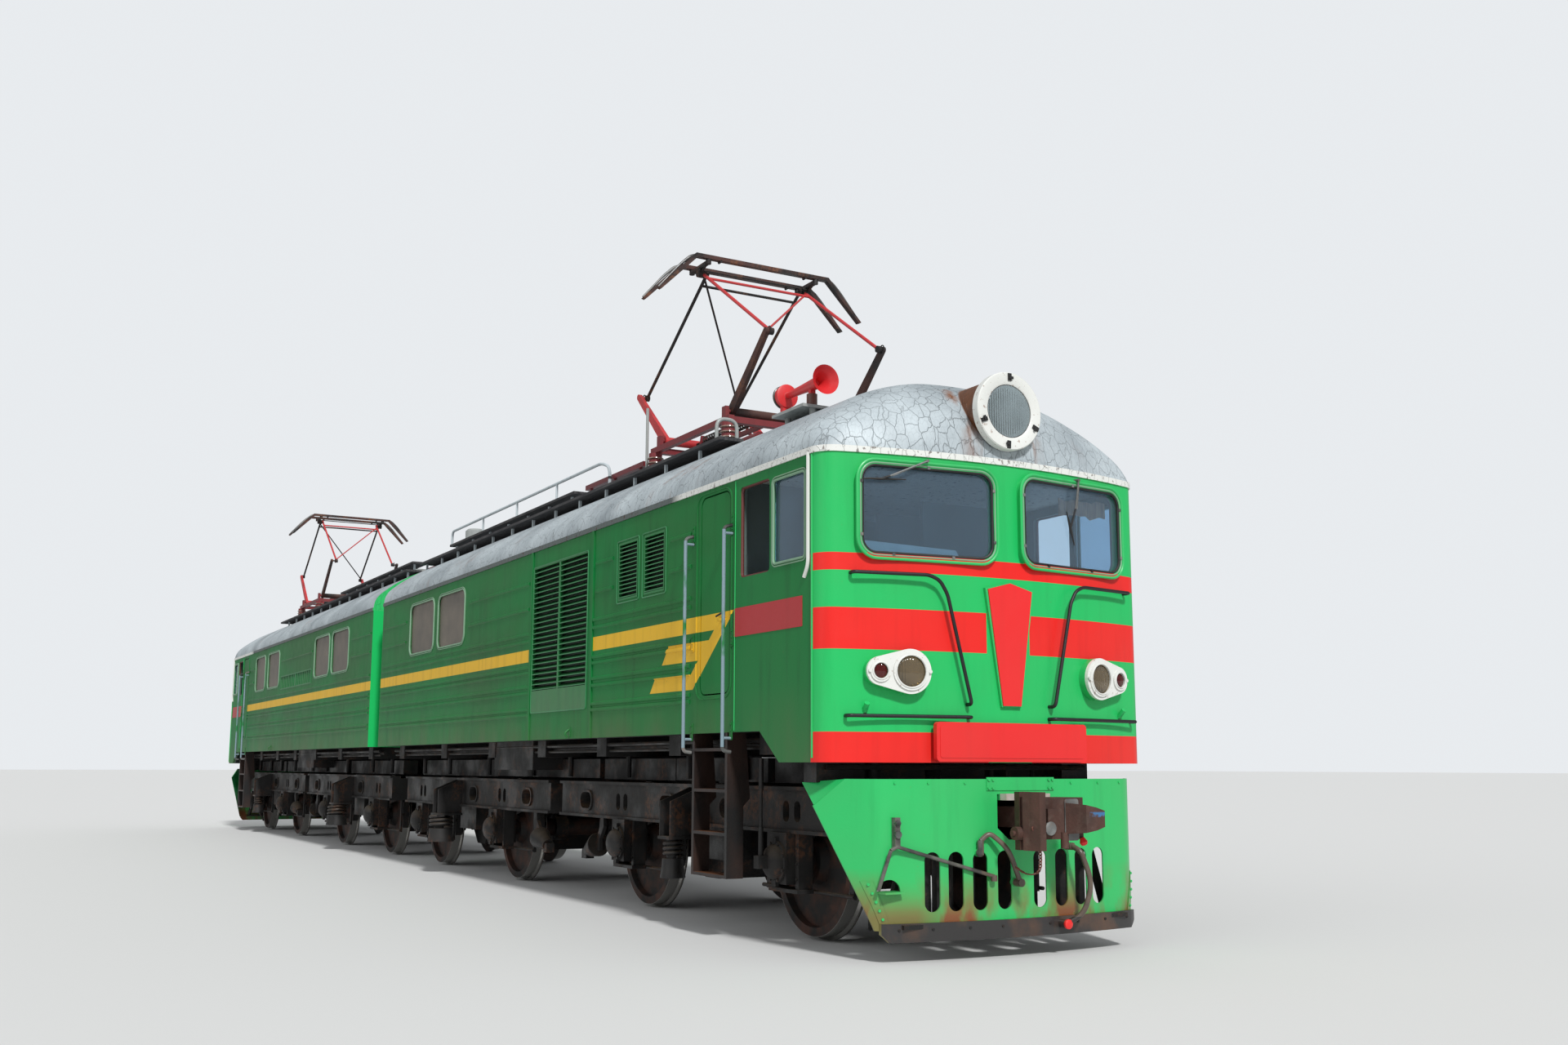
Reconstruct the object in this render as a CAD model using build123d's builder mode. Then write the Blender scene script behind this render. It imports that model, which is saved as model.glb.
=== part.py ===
from build123d import *
import os
from math import asin, atan2, cos, degrees, hypot, pi, radians, sin, sqrt, tan

# Mainline electric locomotive in two sections on eight axles, standing straight on its wheels.
# X runs to the front cab, Y to the left, Z up from the lowest point of the wheel flanges.
# The rear section is the front one turned half a turn about Z. Sizes are in millimetres.

os.makedirs("parts", exist_ok=True)

# Running gear
TREAD_R = 600
FLANGE = 28
WHEEL_IN = 720
WHEEL_OUT = 860
AXLE_R = 105
JOURNAL_R = 85
JOURNAL_END = 1165
WHEELBASE = 3200
OUTER_BOGIE_X = 10000
INNER_BOGIE_X = 2950
FRAME_IN = 985
FRAME_OUT = 1145
FRAME_LOW = 853
FRAME_HIGH = 1218
BOX_FACE = 1190
PIN_GAP = 0.5
RUN_GAP = 6
SEAT_GAP = 0.3

# Body
HALF_W = 1540
WALL = 60
END_X = 300
CAB_X = 11500
NOSE_X = 13087
NOSE_R = 5340
CORNER_R = 180
SILL_Z = 1648
FLOOR_Z = 1900
FLOOR_T = 50
EAVE_Z = 3695
GUTTER_H = 48
GUTTER_OUT = 12
APRON_Z = 1408
APRON_BACK = 11940
APRON_FRONT = 12250
ROOF_RISE = 755
ROOF_SIDE_R = 550
ROOF_T = 40
DOME_X = 12200
RIB_H = 44
RIB_OUT = 12.5

AXLE_Z = FLANGE + TREAD_R
ROOF_Z = EAVE_Z + GUTTER_H
CREST_Z = ROOF_Z + ROOF_RISE
RIGHT = -1
LEFT = 1


def write(piece, name):
    piece.label = name
    export_step(piece, f"parts/{name}.step")


def write_both(piece, name):
    """The front section's piece and the rear one, which is the same turned half a turn"""
    write(piece, f"{name}_a")
    write(piece.rotate(Axis.Z, 180), f"{name}_b")


def block(x, y, z, mode=Mode.ADD):
    """A box between pairs of limits, joined to or cut from the part in hand"""
    with Locations(((x[0] + x[1]) / 2, (y[0] + y[1]) / 2, (z[0] + z[1]) / 2)):
        Box(abs(x[1] - x[0]), abs(y[1] - y[0]), abs(z[1] - z[0]), mode=mode)


def rod(start, end, radius, mode=Mode.ADD):
    """A round bar between two points"""
    run = Vector(*end) - Vector(*start)
    with Locations(Plane(origin=start, z_dir=run.normalized())):
        Cylinder(radius, run.length, align=(Align.CENTER, Align.CENTER, Align.MIN), mode=mode)


def bent_bar(points, bend, radius):
    """A bent round bar through points, with every corner rounded to one radius"""
    with BuildPart() as bar:
        with BuildLine() as route:
            FilletPolyline(*points, radius=bend)
        with BuildSketch(Plane(origin=route.line @ 0, z_dir=route.line % 0)):
            Circle(radius)
        sweep()
    return bar.part


def wall_plane(side):
    """Upright plane 5 mm to the left of that side's wall, from which cuts run to the right"""
    left_face = HALF_W if side == LEFT else WALL - HALF_W
    return Plane.XZ.offset(-(left_face + 5))


def bowed_plan(start_x, tip, half, bow, corner):
    """A plan with straight sides and a bowed front whose two corners are rounded"""
    ends = tip - bow + sqrt(bow**2 - half**2)
    with BuildSketch() as plan:
        with BuildLine():
            Line((start_x, -half), (ends, -half))
            ThreePointArc((ends, -half), (tip, 0), (ends, half))
            Line((ends, half), (start_x, half))
            Line((start_x, half), (start_x, -half))
        make_face()
        fillet(plan.vertices().sort_by(Axis.X)[-2:], corner)
    return plan.sketch


def nose_face(start_x, inset, corner):
    """Plan of the body from start_x round the bowed front, moved in by the inset"""
    return bowed_plan(start_x, NOSE_X - inset, HALF_W - inset, NOSE_R - inset, corner)


def arch_face(half, rise, side_r):
    """Roof arch of three arcs that meet smoothly, standing on the sketch's X axis"""
    crown_r = ((half - side_r) ** 2 + rise**2 - side_r**2) / (2 * (rise - side_r))
    lean = atan2(crown_r - rise, half - side_r)
    join_y = crown_r * cos(lean)
    join_z = rise - crown_r + crown_r * sin(lean)
    mid_y = half - side_r + side_r * cos(lean / 2)
    mid_z = side_r * sin(lean / 2)
    with BuildSketch() as arch:
        with BuildLine():
            Line((-half, 0), (half, 0))
            ThreePointArc((half, 0), (mid_y, mid_z), (join_y, join_z))
            ThreePointArc((join_y, join_z), (0, rise), (-join_y, join_z))
            ThreePointArc((-join_y, join_z), (-mid_y, mid_z), (-half, 0))
        make_face()
    return arch.sketch


def arch_half_width(height):
    """Half the roof's width at that height over its foot"""
    crown_r = ((HALF_W - ROOF_SIDE_R) ** 2 + ROOF_RISE**2 - ROOF_SIDE_R**2) / (
        2 * (ROOF_RISE - ROOF_SIDE_R)
    )
    lean = atan2(crown_r - ROOF_RISE, HALF_W - ROOF_SIDE_R)
    join_z = ROOF_RISE - crown_r + crown_r * sin(lean)
    if height <= join_z:
        return HALF_W - ROOF_SIDE_R + sqrt(ROOF_SIDE_R**2 - height**2)
    return sqrt(crown_r**2 - (height - ROOF_RISE + crown_r) ** 2)


# Body side walls with the end wall
# Windows: side, back, front, bottom, top, corner radius
WINDOW_LOW = 2878
WINDOW_HIGH = 3568
WINDOWS = (
    (RIGHT, 1810, 2960, WINDOW_LOW, WINDOW_HIGH, 120),
    (RIGHT, 3140, 4290, WINDOW_LOW, WINDOW_HIGH, 120),
    (LEFT, 1800, 3000, WINDOW_LOW, WINDOW_HIGH, 120),
    (LEFT, 3180, 4330, WINDOW_LOW, WINDOW_HIGH, 120),
    (LEFT, 7470, 8640, WINDOW_LOW, WINDOW_HIGH, 120),
    (LEFT, 8930, 9990, WINDOW_LOW, WINDOW_HIGH, 120),
)
# Air intakes: side, back, front, bottom, top, slats, slats upright
INTAKES = (
    (RIGHT, 6770, 8350, 1938, 3518, 22, False),
    (RIGHT, 9120, 9570, 2928, 3478, 8, False),
    (RIGHT, 9710, 10160, 2928, 3478, 8, False),
    (LEFT, 4530, 7270, 2800, 3060, 16, True),
)
DOOR_BACK = 10885
DOOR_FRONT = 11430
DOOR_LOW = 1958
DOOR_HIGH = 3638
DOOR_CORNER = 90
DOOR_GAP = 12
DOOR_T = 45
DOOR_SET = 4
HINGE_X = DOOR_BACK + 4
HINGE_Y = HALF_W - WALL - 20
HINGE_PIN_R = 6
HINGE_R = 14
HINGE_H = 70
HINGE_FOOT = 30
HINGE_LEVELS = (2200, 3350)
GANGWAY_HALF = 350
GANGWAY_LOW = 1900
GANGWAY_HIGH = 3600

LOW_RIBS = (1919, 1976, 2156, 2223, 2377, 2434, 2724, 2802)
LOW_RIBS_UNDER_VENT = LOW_RIBS[:-1]
HIGH_RIBS = (3078, 3361)
# Stamped ribs: side, back, front, heights
RIBS = (
    (RIGHT, 380, 6690, LOW_RIBS),
    (RIGHT, 8510, 10700, LOW_RIBS),
    (RIGHT, 400, 1600, HIGH_RIBS),
    (RIGHT, 4480, 6630, HIGH_RIBS),
    (RIGHT, 8560, 8980, HIGH_RIBS),
    (RIGHT, 10290, 10700, HIGH_RIBS),
    (LEFT, 380, 10700, LOW_RIBS_UNDER_VENT),
    (LEFT, 400, 1600, HIGH_RIBS),
    (LEFT, 4530, 7270, HIGH_RIBS[1:]),
    (LEFT, 10160, 10700, HIGH_RIBS),
)
# Upright frame strips: side, middle
STRIPS = ((RIGHT, 6720), (RIGHT, 8475))
STRIP_W = 56

with BuildPart() as body_walls:
    with BuildSketch(Plane.XY.offset(SILL_Z)):
        with Locations(((END_X + CAB_X) / 2, 0)):
            Rectangle(CAB_X - END_X, 2 * HALF_W)
        with Locations(((END_X + WALL + CAB_X) / 2, 0)):
            Rectangle(CAB_X - END_X - WALL, 2 * (HALF_W - WALL), mode=Mode.SUBTRACT)
    extrude(amount=EAVE_Z - SILL_Z)
    for side, back, front, heights in RIBS:
        with BuildSketch(Plane.YZ.offset(back)):
            with Locations(*[(side * HALF_W, z) for z in heights]):
                Polygon(
                    (0, -RIB_H / 2),
                    (side * RIB_OUT, -RIB_H / 4),
                    (side * RIB_OUT, RIB_H / 4),
                    (0, RIB_H / 2),
                    align=None,
                )
        extrude(amount=front - back)
    for side, middle in STRIPS:
        strip_y = (side * HALF_W, side * (HALF_W + RIB_OUT))
        block((middle - STRIP_W / 2, middle + STRIP_W / 2), strip_y, (SILL_Z, EAVE_Z))
    for side, back, front, low, high, corner in WINDOWS:
        with BuildSketch(wall_plane(side)):
            with Locations(((back + front) / 2, (low + high) / 2)):
                RectangleRounded(front - back, high - low, corner)
        extrude(amount=WALL + 30, mode=Mode.SUBTRACT)
    for side, back, front, low, high, slats, upright in INTAKES:
        wall_y = (side * (HALF_W - WALL - 5), side * (HALF_W + 5))
        block((back, front), wall_y, (low, high), Mode.SUBTRACT)
    for side in (RIGHT, LEFT):
        with BuildSketch(wall_plane(side)):
            with Locations(((DOOR_BACK + DOOR_FRONT) / 2, (DOOR_LOW + DOOR_HIGH) / 2)):
                RectangleRounded(DOOR_FRONT - DOOR_BACK, DOOR_HIGH - DOOR_LOW, DOOR_CORNER)
        extrude(amount=WALL + 30, mode=Mode.SUBTRACT)
        for z in HINGE_LEVELS:
            block((HINGE_X - 60, HINGE_X + 8), (side * (HINGE_Y - 8), side * (HALF_W - WALL)), (z, z + HINGE_FOOT))
            rod((HINGE_X, side * HINGE_Y, z), (HINGE_X, side * HINGE_Y, z + HINGE_FOOT + HINGE_H), HINGE_PIN_R)
    block(
        (END_X - 5, END_X + WALL + 5),
        (-GANGWAY_HALF, GANGWAY_HALF),
        (GANGWAY_LOW, GANGWAY_HIGH),
        Mode.SUBTRACT,
    )
write_both(body_walls.part, "body_walls")

# Cab shell: bowed front, rounded corners, side walls and apron
SCREEN_Y = 700
SCREEN_W = 1100
SCREEN_LOW = 2943
SCREEN_HIGH = 3603
SCREEN_CORNER = 110
SCREEN_RIM = 42
SCREEN_TURN = asin(SCREEN_Y / NOSE_R)
SCREEN_X = NOSE_X - NOSE_R + sqrt(NOSE_R**2 - SCREEN_Y**2)
# Cab side windows: back, front, bottom, top
CAB_WINDOWS = (
    (11600, 12090, 2878, 3618),
    (12150, 12650, 2918, 3588),
)


def screen_plane(side, out=0):
    """Plane of a windscreen, tangent to the bowed front at the pane's middle"""
    normal = (cos(SCREEN_TURN), side * sin(SCREEN_TURN), 0)
    across = (-side * sin(SCREEN_TURN), cos(SCREEN_TURN), 0)
    middle = (SCREEN_X, side * SCREEN_Y, (SCREEN_LOW + SCREEN_HIGH) / 2)
    return Plane(origin=middle, x_dir=across, z_dir=normal).offset(out)


with BuildPart() as cab_shell:
    with BuildSketch(Plane.XY.offset(APRON_Z)):
        add(nose_face(CAB_X, 0, CORNER_R))
    extrude(amount=EAVE_Z - APRON_Z)
    for side in (RIGHT, LEFT):
        with BuildSketch(screen_plane(side, -38)):
            RectangleRounded(
                SCREEN_W + 2 * SCREEN_RIM,
                SCREEN_HIGH - SCREEN_LOW + 2 * SCREEN_RIM,
                SCREEN_CORNER + SCREEN_RIM,
            )
        extrude(amount=52)
    with BuildSketch(Plane.XY.offset(APRON_Z)):
        add(nose_face(CAB_X - 10, WALL, CORNER_R - WALL))
    extrude(amount=EAVE_Z - APRON_Z, mode=Mode.SUBTRACT)
    with BuildSketch(Plane.XZ.offset(-HALF_W - 5)):
        with BuildLine():
            Polyline(
                (CAB_X - 5, APRON_Z - 5),
                (CAB_X - 5, SILL_Z),
                (APRON_BACK, SILL_Z),
                (APRON_FRONT, APRON_Z),
                (APRON_FRONT, APRON_Z - 5),
                close=True,
            )
        make_face()
    extrude(amount=2 * HALF_W + 10, mode=Mode.SUBTRACT)
    for side in (RIGHT, LEFT):
        with BuildSketch(screen_plane(side, 60)):
            RectangleRounded(SCREEN_W, SCREEN_HIGH - SCREEN_LOW, SCREEN_CORNER)
        extrude(amount=-260, mode=Mode.SUBTRACT)
        for back, front, low, high in CAB_WINDOWS:
            with BuildSketch(wall_plane(side)):
                with Locations(((back + front) / 2, (low + high) / 2)):
                    RectangleRounded(front - back, high - low, 40)
            extrude(amount=WALL + 30, mode=Mode.SUBTRACT)
write_both(cab_shell.part, "cab_shell")

# Panes set in the openings of the cab and the body
PANE_T = 8
PANE_INSET = 20

with BuildPart() as glazing:
    for side in (RIGHT, LEFT):
        with BuildSketch(screen_plane(side, -22)):
            RectangleRounded(
                SCREEN_W - 2 * SEAT_GAP,
                SCREEN_HIGH - SCREEN_LOW - 2 * SEAT_GAP,
                SCREEN_CORNER - SEAT_GAP,
            )
        extrude(amount=PANE_T)
        pane_y = HALF_W - PANE_INSET if side == LEFT else PANE_INSET + PANE_T - HALF_W
        for back, front, low, high in CAB_WINDOWS[1:]:
            with BuildSketch(Plane.XZ.offset(-pane_y)):
                with Locations(((back + front) / 2, (low + high) / 2)):
                    RectangleRounded(front - back - 2 * SEAT_GAP, high - low - 2 * SEAT_GAP, 40 - SEAT_GAP)
            extrude(amount=PANE_T)
    for side, back, front, low, high, corner in WINDOWS:
        pane_y = HALF_W - PANE_INSET if side == LEFT else PANE_INSET + PANE_T - HALF_W
        with BuildSketch(Plane.XZ.offset(-pane_y)):
            with Locations(((back + front) / 2, (low + high) / 2)):
                RectangleRounded(
                    front - back - 2 * SEAT_GAP, high - low - 2 * SEAT_GAP, corner - SEAT_GAP
                )
        extrude(amount=PANE_T)
write_both(glazing.part, "glazing")

# Louvred air intakes: a shallow tray with sloping slats, filling its opening in the wall
SLAT_T = 5
TRAY_T = 12

with BuildPart() as louvres:
    for side, back, front, low, high, slats, upright in INTAKES:
        inner = side * (HALF_W - WALL)
        face = side * (HALF_W + 5)
        block((back, front), (inner, face), (low, high))
        pocket = (side * (HALF_W - WALL + TRAY_T), side * (HALF_W + 6))
        sides_x = (back + 20, front - 20)
        sides_z = (low + 20, high - 20)
        block(sides_x, pocket, sides_z, Mode.SUBTRACT)
        span = sides_x[1] - sides_x[0] if upright else sides_z[1] - sides_z[0]
        pitch = span / slats
        first = (sides_x[0] if upright else sides_z[0]) + pitch / 2
        for number in range(slats):
            at = first + number * pitch
            if upright:
                block((at - pitch / 5, at + pitch / 5), (pocket[0], side * HALF_W), sides_z)
            else:
                with BuildSketch(Plane.YZ.offset(sides_x[0])):
                    Polygon(
                        (pocket[0], at + pitch * 0.35),
                        (side * HALF_W, at - pitch * 0.35),
                        (side * HALF_W, at - pitch * 0.35 + SLAT_T * 2),
                        (pocket[0], at + pitch * 0.35 + SLAT_T * 2),
                        align=None,
                    )
                extrude(amount=sides_x[1] - sides_x[0])
write_both(louvres.part, "louvres")

# Cab doors, hinged at the rear edge and opening inwards
for side, name in ((RIGHT, "door_right"), (LEFT, "door_left")):
    with BuildPart() as door:
        leaf_y = HALF_W - DOOR_SET if side == LEFT else DOOR_T + DOOR_SET - HALF_W
        with BuildSketch(Plane.XZ.offset(-leaf_y)):
            with Locations(((DOOR_BACK + DOOR_FRONT) / 2, (DOOR_LOW + DOOR_HIGH) / 2)):
                RectangleRounded(
                    DOOR_FRONT - DOOR_BACK - 2 * DOOR_GAP,
                    DOOR_HIGH - DOOR_LOW - 2 * DOOR_GAP,
                    DOOR_CORNER - DOOR_GAP,
                )
        extrude(amount=DOOR_T)
        for level in HINGE_LEVELS:
            foot = level + HINGE_FOOT + SEAT_GAP
            top = level + HINGE_FOOT + HINGE_H
            arm_y = (side * HINGE_Y, side * (HALF_W - DOOR_SET - DOOR_T))
            block((HINGE_X + 4, HINGE_X + 70), arm_y, (foot, top))
            rod((HINGE_X, side * HINGE_Y, foot), (HINGE_X, side * HINGE_Y, top), HINGE_R)
            rod(
                (HINGE_X, side * HINGE_Y, foot),
                (HINGE_X, side * HINGE_Y, top),
                HINGE_PIN_R + SEAT_GAP,
                Mode.SUBTRACT,
            )
        handle_x = DOOR_FRONT - 90
        handle_y = (side * (HALF_W - 6), side * (HALF_W + 28))
        block((handle_x - 8, handle_x + 8), handle_y, (2560, 2576))
        block((handle_x - 90, handle_x + 8), (side * (HALF_W + 16), side * (HALF_W + 28)), (2556, 2580))
    write_both(door.part, name)

# Underframe: floor plate, sills, cross beams, pivots and boxes below the floor
BEAM_LOW = 1470
PIVOT_R = 170
PIVOT_FOOT = 1225

with BuildPart() as underframe:
    block((END_X + WALL, CAB_X), (WALL - HALF_W, HALF_W - WALL), (FLOOR_Z - FLOOR_T, FLOOR_Z))
    with BuildSketch(Plane.XY.offset(FLOOR_Z - FLOOR_T)):
        add(nose_face(CAB_X, WALL, CORNER_R - WALL))
    extrude(amount=FLOOR_T)
    for side in (RIGHT, LEFT):
        block((END_X + WALL, 12300), (side * 1340, side * (HALF_W - WALL)), (SILL_Z, FLOOR_Z - FLOOR_T))
    for x in (900, INNER_BOGIE_X, 4900, 6600, 8300, OUTER_BOGIE_X, 11700):
        block((x - 120, x + 120), (-1340, 1340), (BEAM_LOW, FLOOR_Z - FLOOR_T))
    block((END_X + WALL, 12300), (-200, 200), (BEAM_LOW + 60, FLOOR_Z - FLOOR_T))
    for x in (INNER_BOGIE_X, OUTER_BOGIE_X):
        rod((x, 0, PIVOT_FOOT + SEAT_GAP), (x, 0, BEAM_LOW + 20), PIVOT_R)
    for side in (RIGHT, LEFT):
        block((4980, 6300), (side * 420, side * 1330), (1330, FLOOR_Z - FLOOR_T))
write_both(underframe.part, "underframe")

# Roof: arched sheet with a flat gutter rim, and the domed front end with the headlamp barrel
LAMP_Z = 4118
BARREL_R = 272
BARREL_FRONT = 13092
# Dome levels: share of the rise, corner radius
DOME_LEVELS = ((0, 182), (0.28, 330), (0.58, 430), (0.83, 290), (0.96, 170), (0.995, 70))
CROWN_BOW = 900

roof_plane = Plane(origin=(END_X, 0, ROOF_Z), x_dir=(0, 1, 0), z_dir=(1, 0, 0))

with BuildPart() as roof:
    for share, corner in DOME_LEVELS:
        height = share * ROOF_RISE
        tip = DOME_X + (NOSE_X - DOME_X) * sqrt(1 - share**2)
        bow = NOSE_R * (1 - share) + CROWN_BOW * share
        with BuildSketch(Plane.XY.offset(ROOF_Z + height)):
            add(bowed_plan(DOME_X, tip, arch_half_width(height), bow, corner))
    loft()
    with BuildSketch(roof_plane.offset(DOME_X - END_X - 30)):
        add(arch_face(HALF_W + 8, ROOF_RISE + 8, ROOF_SIDE_R + 8))
    extrude(amount=60)
    with BuildSketch(roof_plane):
        add(arch_face(HALF_W, ROOF_RISE, ROOF_SIDE_R))
    extrude(amount=DOME_X - END_X)
    with BuildSketch(Plane.XY.offset(EAVE_Z)):
        add(nose_face(END_X, -GUTTER_OUT, CORNER_R + GUTTER_OUT))
    extrude(amount=GUTTER_H)
    rod((12300, 0, LAMP_Z), (BARREL_FRONT, 0, LAMP_Z), BARREL_R)
    with BuildSketch(roof_plane.offset(ROOF_T)):
        add(arch_face(HALF_W - ROOF_T, ROOF_RISE - ROOF_T, ROOF_SIDE_R - ROOF_T))
    extrude(amount=DOME_X - END_X - 2 * ROOF_T, mode=Mode.SUBTRACT)
    block(
        (END_X + WALL, DOME_X - ROOF_T),
        (WALL - HALF_W, HALF_W - WALL),
        (EAVE_Z, ROOF_Z),
        Mode.SUBTRACT,
    )
write_both(roof.part, "roof")

# Headlamp ring with its glass, and the marker lamps in their pear-shaped bezels
RING_R = 310
RING_T = 70
LENS_R = 212
MARKER_Y = 890
MARKER_Z = 2068
MARKER_R = 165
REAR_LAMP_Y = 1130
REAR_LAMP_R = 105
BEZEL_OUT = 80
BEZEL_ROOT = 60
LAMP_MIDDLE_Y = 1000


def lamp_plane(side):
    """Plane that touches the bowed front between a pair of marker lamps"""
    turn = asin(LAMP_MIDDLE_Y / NOSE_R)
    face_x = NOSE_X - NOSE_R + NOSE_R * cos(turn)
    return Plane(
        origin=(face_x, side * LAMP_MIDDLE_Y, MARKER_Z),
        x_dir=(-side * sin(turn), cos(turn), 0),
        z_dir=(cos(turn), side * sin(turn), 0),
    )


with BuildPart() as lamps:
    with BuildSketch(Plane.YZ.offset(BARREL_FRONT)):
        with Locations((0, LAMP_Z)):
            Circle(RING_R)
    extrude(amount=RING_T)
    with BuildSketch(Plane.YZ.offset(BARREL_FRONT + 25)):
        with Locations((0, LAMP_Z)):
            Circle(LENS_R)
    extrude(amount=60, mode=Mode.SUBTRACT)
    for side in (RIGHT, LEFT):
        with BuildSketch(lamp_plane(side).offset(-BEZEL_ROOT)):
            with Locations((side * (MARKER_Y - LAMP_MIDDLE_Y), 0)):
                Circle(MARKER_R)
            with Locations((side * (REAR_LAMP_Y - LAMP_MIDDLE_Y), 0)):
                Circle(REAR_LAMP_R)
            make_hull()
        extrude(amount=BEZEL_OUT + BEZEL_ROOT)
    with BuildSketch(Plane.XY.offset(APRON_Z)):
        add(nose_face(CAB_X, -SEAT_GAP, CORNER_R + SEAT_GAP))
    extrude(amount=EAVE_Z - APRON_Z, mode=Mode.SUBTRACT)
write_both(lamps.part, "lamps")

# Interior: bulkhead behind the cab, desk, two seats, and the machinery as one plain block
BULKHEAD_X = 10780
BULKHEAD_T = 50
INNER_W = HALF_W - WALL
MACHINE_HALF = 760
MACHINE = (1500, 9900)

with BuildPart() as interior:
    block((BULKHEAD_X - BULKHEAD_T, BULKHEAD_X), (-INNER_W, INNER_W), (FLOOR_Z, EAVE_Z))
    block((CAB_X - BULKHEAD_T, CAB_X), (-INNER_W, INNER_W), (FLOOR_Z, EAVE_Z))
    block((BULKHEAD_X - BULKHEAD_T - 5, CAB_X + 5), (-330, 330), (FLOOR_Z - 1, 3800), Mode.SUBTRACT)
    block(MACHINE, (-MACHINE_HALF, MACHINE_HALF), (FLOOR_Z, 3300))
    with BuildSketch(Plane.XZ.offset(-1250)):
        with BuildLine():
            Polyline(
                (12300, FLOOR_Z),
                (12850, FLOOR_Z),
                (12850, 2840),
                (12700, 2880),
                (12250, 2720),
                (12250, 2640),
                close=True,
            )
        make_face()
    extrude(amount=2500)
    for side in (RIGHT, LEFT):
        block((11760, 12160), (side * 500, side * 1000), (2330, 2430))
        block((11700, 11780), (side * 500, side * 1000), (2430, 3050))
        rod((11950, side * 750, FLOOR_Z), (11950, side * 750, 2330), 60)
write_both(interior.part, "interior")

# Boarding ladders and handrails on the body
LADDER = (10745, 11385)
LADDER_OUT = 1530
LADDER_IN = 1360
LADDER_LOW = 490
RAIL_BAR_R = 15
TREADS = (490, 824, 1169, 1500)

with BuildPart() as ladders:
    for side in (RIGHT, LEFT):
        for x in (LADDER[0], LADDER[1] - 40):
            with BuildSketch(Plane.YZ.offset(x)):
                with BuildLine():
                    Polyline(
                        (side * LADDER_OUT, LADDER_LOW),
                        (side * LADDER_OUT, SILL_Z),
                        (side * LADDER_IN, SILL_Z),
                        (side * (LADDER_IN - 40), 1120),
                        (side * (LADDER_IN + 20), 1060),
                        (side * (LADDER_IN + 20), LADDER_LOW),
                        close=True,
                    )
                make_face()
            extrude(amount=40)
        for z in TREADS:
            tread_y = (side * (LADDER_IN + 20), side * LADDER_OUT)
            block((LADDER[0] + 40, LADDER[1] - 40), tread_y, (z, z + 25))
        for x in (DOOR_BACK - 135, DOOR_FRONT - 20 + 60):
            bar_y = side * (HALF_W + 80)
            rod((x, bar_y, 1530), (x, bar_y, 3290), RAIL_BAR_R)
            for z in (1600, 3260):
                rod((x, side * HALF_W, z), (x, bar_y, z), RAIL_BAR_R - 3)
write_both(ladders.part, "ladders")

# Gangway bellows: half on each section, leaning apart to the sides so that the sections can turn
BELLOWS_HALF = 520
BELLOWS_T = 70
BELLOWS_LEAN = tan(radians(3.4))
FOLDS = 3
FOLD_DEPTH = 45

with BuildPart() as gangway:
    with BuildSketch(Plane.XY.offset(GANGWAY_LOW - 120)):
        with BuildLine():
            inner = 6 + (BELLOWS_HALF - BELLOWS_T) * BELLOWS_LEAN
            outer = 6 + BELLOWS_HALF * BELLOWS_LEAN
            pitch = (END_X - outer) / FOLDS
            left_edge = [(inner, BELLOWS_HALF - BELLOWS_T), (outer, BELLOWS_HALF)]
            for fold in range(FOLDS):
                left_edge.append((outer + (fold + 0.5) * pitch, BELLOWS_HALF - FOLD_DEPTH))
                left_edge.append((outer + (fold + 1) * pitch, BELLOWS_HALF))
            left_edge.append((END_X, BELLOWS_HALF - BELLOWS_T))
            Polyline(*left_edge, close=True)
        make_face()
        mirror(about=Plane.XZ)
    extrude(amount=GANGWAY_HIGH - GANGWAY_LOW + 240)
    with BuildSketch(Plane.XY.offset(GANGWAY_HIGH + 60)):
        Polygon(
            (6, 0),
            (inner, BELLOWS_HALF - BELLOWS_T),
            (END_X, BELLOWS_HALF - BELLOWS_T),
            (END_X, BELLOWS_T - BELLOWS_HALF),
            (inner, BELLOWS_T - BELLOWS_HALF),
            align=None,
        )
    extrude(amount=60)
    with BuildSketch(Plane.XY.offset(GANGWAY_LOW - 120)):
        Polygon(
            (6, 0),
            (inner, BELLOWS_HALF - BELLOWS_T),
            (END_X, BELLOWS_HALF - BELLOWS_T),
            (END_X, BELLOWS_T - BELLOWS_HALF),
            (inner, BELLOWS_T - BELLOWS_HALF),
            align=None,
        )
    extrude(amount=60)
write_both(gangway.part, "gangway")

# Roof walkways on short posts, with the pipe railing along the right side
BOARD_Z = 4400
BOARD_Y = (880, 1120)
BOARDS = (700, 7900)

with BuildPart() as walkways:
    for side in (RIGHT, LEFT):
        block(BOARDS, (side * BOARD_Y[0], side * BOARD_Y[1]), (BOARD_Z, BOARD_Z + 30))
        for post in range(7):
            x = BOARDS[0] + 100 + post * (BOARDS[1] - BOARDS[0] - 200) / 6
            foot_z = ROOF_Z + 430
            block((x - 20, x + 20), (side * 960, side * 1060), (foot_z, BOARD_Z))
    with BuildSketch(Plane(origin=(BOARDS[0], 0, ROOF_Z), x_dir=(0, 1, 0), z_dir=(1, 0, 0))):
        add(arch_face(HALF_W, ROOF_RISE, ROOF_SIDE_R))
    extrude(amount=BOARDS[1] - BOARDS[0], mode=Mode.SUBTRACT)
write_both(walkways.part, "walkways")

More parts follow.
